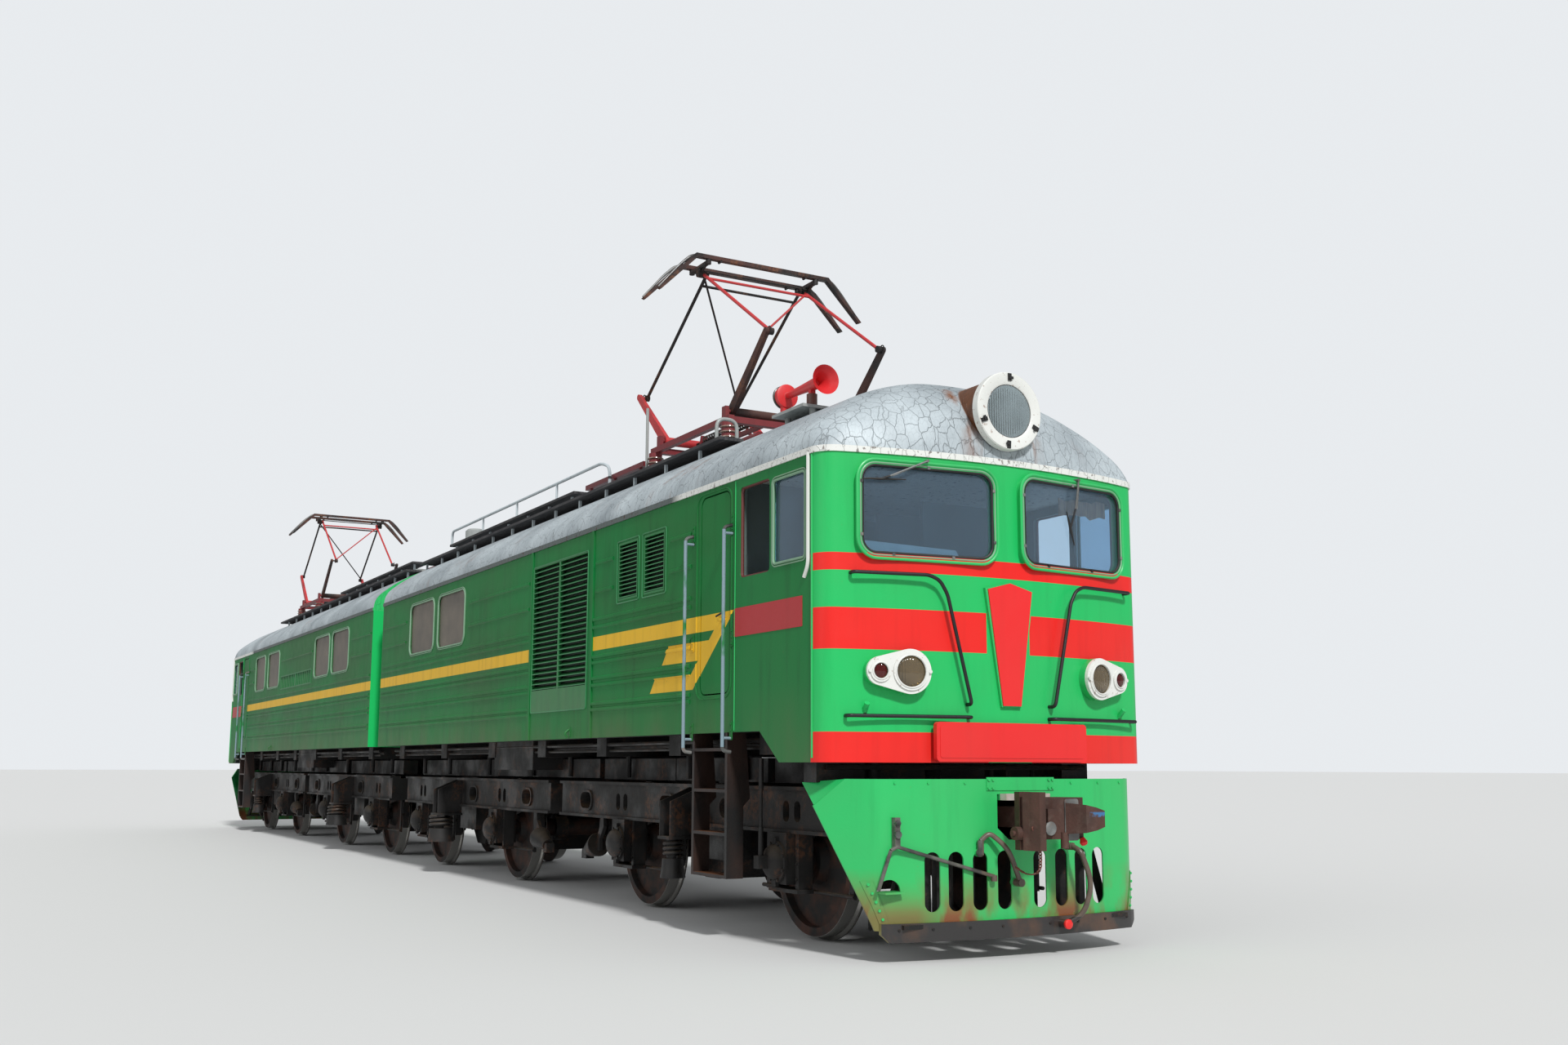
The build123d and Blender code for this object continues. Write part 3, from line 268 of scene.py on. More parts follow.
def body_side():
    """Sides, doors and louvres: green darkened as painted shade and by weathering, with the yellow stripe;
    the end walls in the bright green of painted sunlight
    """
    mat = Finish("body_side_green", specular=0.14)
    green = mat.mix(mat.patches(0.40, 0.62, 0.35, (1, 1, 2.0)), GREEN_SIDE_SHADED, GREEN_OLIVE)
    green = mat.over(green, YELLOW, stripe_mask(mat), 0.96)
    green = weathered(mat, green, streaks=0.30, rust=0.5, dust_below=(1.66, 2.1), faded=0.05)
    # The end walls by the joint take the bright front green: painted sunlight.
    sunlit_end_wall = mat.both(mat.zone(x=(None, END_X + 0.003)), mat.rise(mat.out_y, 0.9, 0.95))
    green = mat.over(green, GREEN_SUNLIT, sunlit_end_wall)
    inside = mat.zone(0.0025, out_y=(None, 1.5025), x=(END_X + 0.0325, None))
    mat.colour(mat.over(green, CAB_GREY, inside))
    paint_surface(mat, 0.34, 0.5, coat=0.0)
    return mat.material


def louvre_green():
    mat = Finish("louvre_green")
    green = weathered(mat, GREEN_SIDE_SHADED, rust=0.5, dust_below=(1.9, 2.3))
    # The backs of the trays behind the slats are painted near-black: painted shade.
    mat.colour(mat.over(green, SOOT_AND_SHADE, mat.rise(mat.out_y, 1.535, 1.50), 0.95))
    paint_surface(mat)
    return mat.material


def cab_front():
    """The bowed front in the bright green of painted sunlight with three red bands; the sides behind the
    corner in the darker green of painted shade
    """
    mat = Finish("cab_front_green", specular=0.3)
    front = mat.zone(x=(CORNER_X, None))
    bands = mat.either(*[mat.zone(z=band) for band in ((2.808, 2.938), (2.228, 2.533), (1.405, 1.628))])
    beside_shield = mat.either(mat.zone(out_y=(0.206, None)), mat.zone(z=(2.803, None)))
    # Bright green on the front is painted sunlight, the darker green on the sides painted shade with
    # weathering.
    sunlit_front_green = weathered(mat, GREEN_SUNLIT, streaks=0.10, rust=0.5)
    front_red = weathered(mat, RED_BAND, streaks=0.10)
    shaded_side_green = weathered(mat, GREEN_SIDE_SHADED, streaks=0.30, rust=0.5, dust_below=(1.42, 2.0), faded=0.05)
    paint = mat.mix(front, shaded_side_green, mat.over(sunlit_front_green, front_red, mat.both(bands, beside_shield)))
    from_bow = mat.radius(mat.minus(mat.x, BOW_X), mat.y)
    inside = mat.both(mat.rise(from_bow, 5.300, 5.295), mat.rise(mat.out_y, 1.505, 1.50))
    mat.colour(mat.over(paint, CAB_GREY, inside))
    mat.rough(mat.level(front, 0.55, paint_surface(mat, 0.24, 0.42, 0.006, coat=0.0)))
    return mat.material


def roof_silver():
    """Crazed aluminium paint with rust runs, white gutter, rusted headlamp barrel"""
    mat = Finish("roof_silver")
    tone = mat.patches(0.3, 0.72, 1.4, detail=5.0)
    crazing = mat.cracks(11.0, (1, 1, 0.5), 0.03)
    crazed = mat.times(crazing, mat.level(mat.patches(0.35, 0.6, 1.1), 0.1, 0.5))
    net = mat.either(crazed, mat.times(mat.cracks(30.0, (1, 1, 0.35), 0.05), 0.22))
    silver = mat.over(mat.mix(tone, SILVER, SILVER_DARK), SOOT_AND_SHADE, net)
    rusty = mat.either(
        mat.zone(0.35, x=(9.9, 10.5)),
        mat.both(mat.rise(mat.x, 12.3, 12.6), mat.zone(0.06, out_y=(0.2, 0.36))),
        mat.times(mat.patches(0.52, 0.66, 0.8), 0.5),
    )
    silver = mat.over(silver, RUST, mat.both(mat.patches(0.55, 0.72, 5.0, (1, 1, 0.18), detail=5.0), rusty))
    from_lamp = mat.radius(mat.y, mat.minus(mat.z, LAMP_Z))
    on_barrel = mat.both(mat.rise(from_lamp, 0.290, 0.276), mat.rise(mat.x, 12.60, 12.75))
    silver = mat.over(silver, mat.mix(mat.noise(7.0, detail=5.0), RUST, RUST_DARK), on_barrel)
    chips = mat.patches(0.60, 0.66, 24.0, detail=6.0)
    grey = mat.mix(chips, rgb(84, 92, 90), RUST_DARK)
    gutter = mat.over(grey, mat.over(WHITE, RUST_DARK, chips, 0.7), mat.rise(mat.x, 10.3, 10.5))
    silver = mat.over(silver, gutter, mat.zone(z=(EAVE_Z - 0.01, ROOF_Z + 0.0005)))
    # The roof's end face by the joint is painted the bright front green: painted sunlight.
    mat.colour(mat.over(silver, GREEN_SUNLIT, mat.zone(x=(None, END_X + 0.003))))
    mat.rough(mat.level(tone, 0.42, 0.62))
    mat.bump(crazing, 0.004)
    mat.bump(mat.noise(3.0), 0.006)
    return mat.material


def pilot_paint():
    """Green plate with dirt at its foot, a worn board, bare rod, brown hoses and the white hood"""
    mat = Finish("pilot_green")
    splashed = mat.both(mat.rise(mat.y, -0.5, -0.9), mat.rise(mat.z, 0.60, 0.36))
    dirty = mat.either(mat.patches(0.40, 0.60, 3.5, (1, 1, 0.5), detail=4.0), mat.times(splashed, 0.8))
    green = weathered(mat, GREEN_SUNLIT, streaks=0.15, rust=0.5)
    green = mat.over(green, RUST, mat.both(dirty, mat.rise(mat.z, 0.66, 0.32)))
    from_bow = mat.radius(mat.minus(mat.x, PILOT_BOW_X), mat.y)
    proud = mat.rise(from_bow, NOSE_R + 0.013, NOSE_R + 0.014)
    shelf = mat.both(mat.zone(0.005, y=(None, -1.005)), mat.zone(z=(0.484, 0.504)))
    patch = mat.zone(0.005, z=(1.195, None))
    above_board = mat.zone(0.0005, z=(0.2815, None))
    hung = mat.both(proud, above_board, mat.unless(shelf), mat.unless(patch))
    hoses = mat.both(hung, mat.zone(0.005, y=(-0.395, None), z=(None, 0.925)))
    hood = mat.both(proud, mat.zone(0.005, z=(1.125, None)), mat.unless(patch))
    worn = mat.mix(mat.patches(0.5, 0.72, 2.6, detail=4.0), rgb(44, 42, 42), rgb(88, 62, 46))
    bare = mat.mix(mat.patches(0.4, 0.6, 8.0, detail=4.0), rgb(58, 56, 54), rgb(92, 90, 84))
    brown = mat.mix(mat.patches(0.35, 0.65, 5.0, detail=4.0), rgb(74, 62, 54), rgb(104, 90, 78))
    green = mat.over(green, worn, mat.both(proud, mat.unless(above_board)))
    green = mat.over(mat.over(green, bare, hung), brown, hoses)
    mat.colour(mat.over(green, mat.mix(mat.noise(9.0, detail=5.0), WHITE, RUST), hood))
    paint_surface(mat, 0.25, 0.5, 0.008)
    return mat.material


def dark_metal(name, paint, dusty=0.5, rust=0.35, low=0.45, high=0.8):
    """Black running gear: dust on what faces up, oily and rusty patches"""
    mat = Finish(name)
    oily = mat.patches(0.42, 0.62, 2.4, detail=4.0)
    rusty = mat.both(mat.patches(0.52, 0.66, 4.0, detail=5.0), mat.patches(0.4, 0.6, 30.0, detail=5.0))
    tone = mat.over(mat.mix(oily, paint, SOOT_AND_SHADE), RUST, rusty, rust)
    grey = mat.level(mat.patches(0.35, 0.75, 12.0, detail=5.0), dusty * 0.5, dusty)
    mat.colour(mat.over(tone, DUST, mat.both(mat.upward(), grey)))
    mat.rough(mat.level(oily, high, low))
    mat.bump(mat.noise(90.0, detail=4.0), 0.0012)
    mat.bump(mat.noise(14.0), 0.003)
    return mat.material


def wheel_finish():
    """Brown-black wheels with a bright tread, found by the distance from each wheelset's own middle"""
    mat = Finish("wheel_steel")
    share_x, _, share_z = mat.parts(mat.add("ShaderNodeTexCoord").outputs["Generated"])
    offsets = [mat.times(mat.minus(share, 0.5), 1.256) for share in (share_x, share_z)]
    tread = mat.both(mat.rise(mat.radius(*offsets), 0.592, 0.596), mat.rise(mat.out_y, 0.725, 0.73))
    tone = mat.mix(mat.patches(0.4, 0.65, 6.0, detail=5.0), BLACK, RUST_DARK)
    mat.colour(mat.over(tone, STEEL, tread))
    mat.feed(mat.shader.inputs["Metallic"], tread)
    mat.rough(mat.level(tread, 0.75, 0.25))
    mat.bump(mat.noise(40.0, detail=4.0), 0.001)
    return mat.material


def glass():
    """Cab glass is clear and dark; the windows of the machine room are grey with dirt"""
    mat = Finish("window_glass")
    dirt = mat.patches(0.3, 0.8, 2.5, detail=5.0)
    machine_room = mat.rise(mat.x, 11.3, 11.0)
    grime = mat.mix(dirt, rgb(118, 108, 96), rgb(86, 82, 76))
    clear = mat.over(rgb(182, 212, 236), rgb(150, 150, 140), dirt, 0.12)
    mat.colour(mat.over(clear, grime, machine_room))
    mat.feed(mat.shader.inputs["Transmission Weight"], mat.level(machine_room, 0.93, 0.12))
    mat.rough(mat.level(machine_room, 0.02, 0.45))
    mat.plain("IOR", 1.45)
    return mat.material


def lamp_white():
    """White rings of the lamps; the marker housings' sides are body green"""
    mat = Finish("lamp_white")
    white = mat.over(WHITE, RUST, mat.patches(0.62, 0.68, 30.0, detail=6.0), 0.6)
    from_bow = mat.radius(mat.minus(mat.x, BOW_X), mat.y)
    root = mat.both(mat.rise(from_bow, NOSE_R + 0.060, NOSE_R + 0.058), mat.rise(mat.z, 3.0, 2.9))
    mat.colour(mat.over(white, weathered(mat, GREEN_SUNLIT, streaks=0.1), root))
    paint_surface(mat, 0.3, 0.5, 0.001)
    return mat.material


def plain_paint(name, paint, rust=0.3, streaks=0.2):
    mat = Finish(name)
    mat.colour(weathered(mat, paint, streaks, rust))
    paint_surface(mat, 0.35, 0.6, 0.001)
    return mat.material


def interior_paint():
    """Grey-green cab, dark seats, grey machinery"""
    mat = Finish("cab_grey")
    tone = mat.over(CAB_GREY, rgb(44, 34, 30), mat.zone(x=(11.69, 12.17), z=(1.95, 3.1)))
    machine = mat.both(mat.rise(mat.x, 10.0, 9.9), mat.rise(mat.out_y, 0.8, 0.79))
    mat.colour(weathered(mat, mat.over(tone, rgb(90, 96, 94), machine), 0.1, 0.1))
    paint_surface(mat, 0.4, 0.6, 0.001)
    return mat.material


def board_finish():
    """Dark boards with grain, on grey posts"""
    mat = Finish("board_dark")
    grain = mat.noise(3.0, (1, 26, 6), detail=6.0)
    wood = mat.mix(mat.rise(grain, 0.35, 0.7), rgb(38, 38, 42), rgb(74, 72, 72))
    boards = mat.either(mat.zone(z=(4.344, 4.376)), mat.zone(z=(4.559, 4.591)))
    mat.colour(mat.over(weathered(mat, SILVER, 0.3, 0.6), wood, boards))
    mat.rough(0.8)
    mat.bump(grain, 0.003)
    return mat.material


def ladder_finish():
    """Black ladders with brown dust, dull metal handrails with green paint, black front rails"""
    mat = Finish("ladder_black")
    low = mat.over(SOOT_AND_SHADE, RUST_DARK, mat.patches(0.35, 0.65, 3.0, (1, 1, 0.6), detail=5.0), 0.5)
    low = mat.over(low, RUST, mat.upward(), 0.5)
    bare = mat.patches(0.35, 0.45, 6.0, (1, 1, 0.4), detail=4.0)
    rail = mat.both(mat.zone(out_y=(1.543, None)), mat.rise(mat.z, 1.50, 1.51))
    tone = mat.over(low, mat.mix(bare, GREEN_SIDE_SHADED, rgb(122, 142, 152)), rail)
    stub = mat.zone(z=(1.766, 1.9), out_y=(1.18, 1.25))
    front_rail = mat.mix(stub, rgb(20, 20, 22), GREEN_SUNLIT)
    mat.colour(mat.over(tone, front_rail, mat.rise(mat.x, 12.5, 12.51)))
    mat.rough(0.5)
    mat.bump(mat.noise(50.0, detail=4.0), 0.0012)
    return mat.material


def gear_finish():
    """Roof gear: red horn and drum with a dark rim, wine-red bus bar, brown insulators, grey boxes"""
    mat = Finish("roof_gear_paint")
    edge = 0.0005
    tone = weathered(mat, rgb(150, 154, 152), 0.4, 0.7)
    bus_bar = mat.both(mat.zone(edge, z=(4.6995, None)), mat.rise(mat.out_y, 0.05, 0.045))
    duct = mat.zone(x=(6.17, 7.84), z=(4.5, 4.64))
    tone = mat.over(tone, weathered(mat, WINE, 0.2, 0.2), mat.either(bus_bar, duct))
    drum = mat.both(mat.zone(x=(10.9, 11.078)), mat.zone(edge, z=(4.4175, None)))
    dark_rim = mat.zone(x=(None, 11.011))
    drum_paint = mat.over(weathered(mat, HORN_RED, 0.2), rgb(58, 46, 40), dark_rim)
    tone = mat.over(tone, drum_paint, drum)
    pots = mat.both(mat.rise(mat.out_y, 0.07, 0.068), mat.zone(edge, z=(None, 4.6995)))
    tone = mat.over(tone, rgb(84, 46, 34), pots)
    horn = mat.both(mat.zone(x=(11.079, None)), mat.zone(edge, z=(4.4605, None)))
    tone = mat.over(tone, weathered(mat, HORN_RED, 0.15, 0.2), horn)
    cylinder = mat.zone(x=(11.43, 11.55), z=(4.417, 4.5205))
    mat.colour(mat.over(tone, rgb(96, 62, 52), cylinder))
    paint_surface(mat, 0.3, 0.5, 0.001)
    return mat.material


def coupler_finish():
    """Cast head, brown with rust, worn patches and a blue paint mark on its claw"""
    mat = Finish("coupler_rust")
    tone = mat.mix(mat.patches(0.35, 0.7, 4.0, detail=6.0), rgb(82, 52, 42), rgb(52, 33, 26))
    tone = mat.over(tone, rgb(100, 84, 74), mat.patches(0.55, 0.72, 9.0, detail=5.0), 0.4)
    on_tip = mat.both(mat.zone(0.006, y=(0.20, 0.33)), mat.rise(mat.x, 13.68, 13.69))
    mark = mat.both(on_tip, mat.zone(0.004, z=(1.024, 1.058)))
    mat.colour(mat.over(tone, rgb(54, 104, 150), mat.both(mark, mat.patches(0.40, 0.50, 14.0, detail=4.0))))
    mat.rough(0.72)
    mat.bump(mat.noise(40.0, detail=6.0), 0.003)
    return mat.material


def bellows_cloth():
    """Rubberised cloth, dusty on its folds"""
    mat = Finish("bellows_rubber")
    mat.colour(mat.over(rgb(40, 38, 37), DUST, mat.patches(0.35, 0.7, 4.0, (1, 1, 0.3), detail=5.0), 0.4))
    mat.rough(0.7)
    mat.bump(mat.add("ShaderNodeTexWave", Vector=mat.where, Scale=160.0).outputs["Fac"], 0.0006)
    mat.bump(mat.noise(6.0), 0.006)
    return mat.material


def lens_glass(name, tint):
    mat = Finish(name, roughness=0.05)
    mat.colour(mat.mix(mat.noise(8.0), tint, (*[0.8 * c for c in tint[:3]], 1.0)))
    mat.plain("Transmission Weight", 0.85)
    ribs = mat.add("ShaderNodeTexWave", Vector=mat.where, Scale=14.0)
    ribs.bands_direction = "Y"
    mat.bump(ribs.outputs["Fac"], 0.002)
    return mat.material


def reflector(name, light, dark, scale, roughness, metallic, dents=None):
    mat = Finish(name, roughness, metallic)
    mat.colour(mat.mix(mat.noise(scale), light, dark))
    if dents is not None:
        mat.bump(mat.noise(dents), 0.002)
    return mat.material


shaded_side_green = body_side()
wine_paint = plain_paint("wine_red", WINE, rust=0.5)
bright_arm = plain_paint("arm_red", rgb(186, 44, 48), rust=0.4)
dark_tube = dark_metal("tube_black", rgb(36, 30, 30), 0.1, 0.5)
rusty_tube = dark_metal("tube_brown", rgb(72, 44, 38), 0.1, 0.6)
bogie_black = dark_metal("bogie_black", rgb(34, 32, 31), 0.55)
frame_black = dark_metal("frame_black", rgb(26, 25, 25), 0.35, 0.25)
rubber = dark_metal("rubber_black", rgb(34, 34, 34), 0.2, 0.0, 0.5, 0.7)
pale_steel = dark_metal("pale_steel", rgb(120, 122, 120), 0.1, 0.3, 0.3, 0.5)
pale_trim = plain_paint("trim_pale", rgb(120, 158, 128), rust=0.6)
# The trims take the bright green of painted sunlight.
sunlit_trim_green = plain_paint("sunlit_trim_green", GREEN_SUNLIT, rust=0.4)
white_paint = plain_paint("white_paint", WHITE, rust=0.8, streaks=0.25)
red_plate = plain_paint("plate_red", RED_PLATE, rust=0.2, streaks=0.05)

FINISHES = {
    "body_walls": shaded_side_green,
    "door_right": shaded_side_green,
    "door_left": shaded_side_green,
    "cab_shell": cab_front(),
    "louvres": louvre_green(),
    "roof": roof_silver(),
    "glazing": glass(),
    "pilot": pilot_paint(),
    "underframe": frame_black,
    "bogie": bogie_black,
    "wheelset": wheel_finish(),
    "lamps": lamp_white(),
    "interior": interior_paint(),
    "ladders": ladder_finish(),
    "gangway": bellows_cloth(),
    "walkways": board_finish(),
    "roof_gear": gear_finish(),
    "coupler": coupler_finish(),
    "panto_base": wine_paint,
    "panto_lower_front": rusty_tube,
    "panto_lower_rear": bright_arm,
    "panto_upper_front": bright_arm,
    "panto_upper_rear": dark_tube,
    "panto_head": rusty_tube,
}
# The rear pantograph's frames are painted as the front one's seen from the same end
SWAPPED = {"front": "rear", "rear": "front"}
for name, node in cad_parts.items():
    kind, tag = name.rsplit("_", 1)
    if tag == "b" and kind.startswith("panto_") and kind.rsplit("_", 1)[1] in SWAPPED:
        stem, end = kind.rsplit("_", 1)
        kind = f"{stem}_{SWAPPED[end]}"
    node.data.materials.clear()
    node.data.materials.append(FINISHES[kind])


# Shapes


def circle(radius, sides, middle=(0, 0), start=0.0):
    """Corners of a regular outline, the first one at this share of a step"""
    angles = [math.tau * (start + k) / sides for k in range(sides)]
    return [(middle[0] + radius * math.cos(a), middle[1] + radius * math.sin(a)) for a in angles]


BOX_FACES = ((0, 1, 3, 2), (4, 6, 7, 5), (0, 4, 5, 1), (2, 3, 7, 6), (0, 2, 6, 4), (1, 5, 7, 3))


class Shape:
    """Mesh code in the front section's frame, made into one piece for each section"""

    def __init__(self):
        self.points, self.faces = [], []

    def patch(self, points, faces):
        first = len(self.points)
        self.points += [Vector(p) for p in points]
        self.faces += [[first + corner for corner in face] for face in faces]

    def box(self, x, y, z, turn=Matrix.Identity(4)):
        corners = [turn @ Vector((a, b, c)) for a in sorted(x) for b in sorted(y) for c in sorted(z)]
        self.patch(corners, BOX_FACES)

    def skin(self, rings, closed=False):
        """Faces between rings of points, with a cover over the first and the last one unless it closes"""
        count, sides = len(rings), len(rings[0])
        faces = []
        for row in range(count if closed else count - 1):
            here, after = row * sides, (row + 1) % count * sides
            for k in range(sides):
                beside = (k + 1) % sides
                faces.append((here + k, here + beside, after + beside, after + k))
        if not closed:
            faces += [tuple(range(sides))[::-1], tuple((count - 1) * sides + k for k in range(sides))]
        self.patch([point for ring in rings for point in ring], faces)

    def tube(self, line, radius, sides=8, closed=False):
        """A round bar along a line of points; radius may be one value or one for each point"""
        line = [Vector(p) for p in line]
        radii = radius if hasattr(radius, "__len__") else [radius] * len(line)
        rings, across = [], None
        for here, (at, reach) in enumerate(zip(line, radii)):
            before = line[here - 1] if here or closed else at
            after = line[(here + 1) % len(line)] if here < len(line) - 1 or closed else at
            along = (after - before).normalized()
            if across is None:
                across = along.orthogonal().normalized()
            across = (across - along * across.dot(along)).normalized()
            other = along.cross(across)
            rings.append([at + (across * c + other * s) * reach for c, s in circle(1, sides)])
        self.skin(rings, closed)

    def bead(self, outline, plane, out, radius, sides=6):
        """A round bead along an outline in a plane's own coordinates"""
        self.tube([plane @ Vector((u, v, out)) for u, v in outline], radius, sides, closed=True)

    def lathe(self, foot, axis, profile, sides=24):
        """A turned piece: profile holds pairs of distance along the axis and radius"""
        foot, axis = Vector(foot), Vector(axis).normalized()
        across = axis.orthogonal().normalized()
        turns = [across * c + axis.cross(across) * s for c, s in circle(1, sides)]
        closed = tuple(profile[0]) == tuple(profile[-1])
        rows = profile[:-1] if closed else profile
        self.skin([[foot + axis * along + turn * radius for turn in turns] for along, radius in rows], closed)

    def prism(self, outline, plane, depth):
        """An outline in a plane's own coordinates, given its thickness along the plane's normal"""
        self.skin([[plane @ Vector((u, v, level)) for u, v in outline] for level in (0, depth)])

    def bolt(self, at, normal, radius, height):
        at, normal = Vector(at), Vector(normal).normalized()
        self.tube([at, at + normal * height], radius, 6)

    def make(self, name, material, body="section_a", sharp=35, only="ab"):
        """The piece on this body and, turned half a turn, on its partner"""
        made = []
        for tag in only:
            place = Matrix.Rotation(math.pi if tag == "b" else 0, 4, "Z")
            mesh = bpy.data.meshes.new(f"{name}_{tag}")
            mesh.from_pydata([place @ p for p in self.points], [], self.faces)
            mesh.validate()
            for face in mesh.polygons:
                face.use_smooth = True
            mesh.set_sharp_from_angle(angle=math.radians(sharp))
            mesh.materials.append(material)
            piece = bpy.data.objects.new(f"{name}_{tag}", mesh)
            bpy.context.scene.collection.objects.link(piece)
            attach(piece, PARTNER.get(body, body) if tag == "b" else body)
            made.append(piece)
        return made


def plane_at(origin, across, normal):
    """A plane's own axes as a matrix: u across, v up the surface, then its normal"""
    across, normal = Vector(across).normalized(), Vector(normal).normalized()
    turn = Matrix((across, normal.cross(across), normal)).transposed().to_4x4()
    return Matrix.Translation(Vector(origin)) @ turn


def deep(plane, by):
    """The same plane, moved by so much along its normal"""
    return plane @ Matrix.Translation((0, 0, by))


def wall_plane(side, x, z):
    """On a side wall: u runs to the right as one looks at that wall"""
    return plane_at((x, side * HALF_W, z), (-side, 0, 0), (0, side, 0))


def on_nose(y, z, out=0.0):
    """A point on the bowed front, moved out by so much"""
    turn = math.asin(y / NOSE_R)
    return Vector((BOW_X + (NOSE_R + out) * math.cos(turn), (NOSE_R + out) * math.sin(turn), z))


def nose_plane(y, z, out=0.0):
    """Tangent to the bowed front at that y"""
    turn = math.asin(y / NOSE_R)
    across, normal = (-math.sin(turn), math.cos(turn), 0), (math.cos(turn), math.sin(turn), 0)
    return plane_at(on_nose(y, z, out), across, normal)


def rounded(width, height, corner, steps=6):
    """Outline of a rectangle with rounded corners about the origin"""
    outline = []
    for quarter, (way_u, way_v) in enumerate(((1, 1), (-1, 1), (-1, -1), (1, -1))):
        u, v = way_u * (width / 2 - corner), way_v * (height / 2 - corner)
        for step in range(steps + 1):
            angle = math.pi / 2 * (quarter + step / steps)
            outline.append((u + corner * math.cos(angle), v + corner * math.sin(angle)))
    return outline


def bent(points, bend, steps=6):
    """A line through points with its corners rounded"""
    points = [Vector(p) for p in points]
    line = [points[0]]
    for before, corner, after in zip(points, points[1:], points[2:]):
        back, on = (before - corner), (after - corner)
        reach = min(bend, back.length * 0.49, on.length * 0.49)
        start, end = corner + back.normalized() * reach, corner + on.normalized() * reach
        for share in [step / steps for step in range(steps + 1)]:
            line.append(start * (1 - share) ** 2 + corner * 2 * share * (1 - share) + end * share**2)
    return [*line, points[-1]]


def helix(start, end, across, radius, turns, steps):
    """A coil's line about the way from start to end, with so many steps to a turn"""
    start, way, across = Vector(start), Vector(end) - Vector(start), Vector(across)
    other, line = way.normalized().cross(across), []
    for step in range(int(turns * steps) + 1):
        angle = math.tau * step / steps
        spoke = across * math.cos(angle) + other * math.sin(angle)
        line.append(start + way * (step / int(turns * steps)) + spoke * radius)
    return line


# Forms that the solids have only in plain blocks, in millimetres as in the part's source
def in_metres(points):
    return [tuple(value / 1000 for value in point) for point in points]


class Form(Shape):
    """A shape written in millimetres"""

    def block(self, x, y, z):
        self.box(*in_metres((x, y, z)))

    def rod(self, start, end, radius, sides=16):
        self.tube(in_metres((start, end)), radius / 1000, sides)

    def post(self, x, y, low, high, radius, sides=16):
        self.rod((x, y, low), (x, y, high), radius, sides)

    def bar(self, points, bend, radius, sides=12):
        self.tube(bent(in_metres(points), bend / 1000, 8), radius / 1000, sides)

    def turned(self, start, axis, profile, sides=28):
        self.lathe(in_metres([start])[0], axis, in_metres(profile), sides)

    def plate(self, outline, holes, place, depth):
        """A plate with holes, its outlines in a plane's own coordinates"""
        loops = [in_metres(loop) for loop in (outline, *holes)]
        flat = [Vector((u, v, 0)) for loop in loops for u, v in loop]
        faces, count = [], len(flat)
        for a, b, c in tessellate_polygon([[Vector((u, v, 0)) for u, v in loop] for loop in loops]):
            if (flat[b] - flat[a]).cross(flat[c] - flat[a]).z < 0:
                b, c = c, b
            faces += [(a + count, b + count, c + count), (a, c, b)]
        first = 0
        for loop in loops:
            area = sum(p[0] * q[1] - q[0] * p[1] for p, q in zip(loop, loop[1:] + loop[:1]))
            for k in range(len(loop)):
                here, after = first + k, first + (k + 1) % len(loop)
                if (area > 0) != (first == 0):
                    here, after = after, here
                faces.append((here, after, after + count, here + count))
            first += len(loop)
        lift = Vector((0, 0, depth / 1000))
        self.patch([place @ p for p in flat] + [place @ (p + lift) for p in flat], faces)

    def across(self, outline, y0, y1, holes=()):
        """An outline in X and Z given its width from y0 to y1"""
        place = plane_at((0, max(y0, y1) / 1000, 0), (1, 0, 0), (0, -1, 0))
        self.plate(outline, holes, place, abs(y1 - y0))

    def upright(self, outline, z0, z1):
        """An outline in X and Y from z0 to z1"""
        self.plate(outline, (), plane_at((0, 0, z0 / 1000), (1, 0, 0), (0, 0, 1)), z1 - z0)

    def along(self, outline, x0, x1):
        """An outline in Y and Z from x0 to x1"""
        self.plate(outline, (), plane_at((x0 / 1000, 0, 0), (0, 1, 0), (1, 0, 0)), x1 - x0)


def stadium(middle, width, height, corner, steps=6):
    return [(middle[0] + u, middle[1] + v) for u, v in rounded(width, height, corner, steps)]


def stand_for(shape, name, material, solids, body="section_a", sharp=35):
    """The shape as a piece on both sections, each in place of its own solid"""
    for piece, solid in zip(shape.make(name, material, body, sharp), solids):
        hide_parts(solid)


# Bogies: side frames with their rims, axle boxes in their guides, springs, brakes, beams and motors
FRAME_IN, FRAME_OUT, FRAME_LOW, FRAME_HIGH = 985, 1145, 853, 1218
LIP_T, LIP_OUT, AXLE_X, AXLE_Z, BOX_FACE = 28, 32, 1600, 628, 1190
HOLES, SLOTS, HOLE_W, HOLE_H, HOLE_Z = (-2610, -620, 620, 2610), (-1700, 1700), 290, 166, 1023
SPRING_Y, SEAT_Z, CUP_LOW, CUP_HIGH = 1345, 740, 405, 572
TREAD_R, LINK_Z, LINK_R, LINK_T, LINK_X = 600, 1000, 110, 40, 6475
MOTOR_X, MOTOR_Z, MOTOR_R = 860, 690, 400
COUPLER_Z, SHANK_R, DRAFT_X = 1010, 75, 12760
BOX_COVER = [(0, 165), (22, 165), (22.5, 140)]
BOX_COVER += [(22 + 88 * s, 140 * c) for c, s in circle(1, 24)[1:6]] + [(110, 3)]
# Bogies: body, middle, front and rear ends, spring core, cup, brake cylinder's offset and direction
BOGIES = (
    ("bogie_1", 10000, 3000, -3330, 55, 95, -2290, -1),
    ("bogie_2", 2950, 3360, -2520, 90, 150, 2790, 1),
)


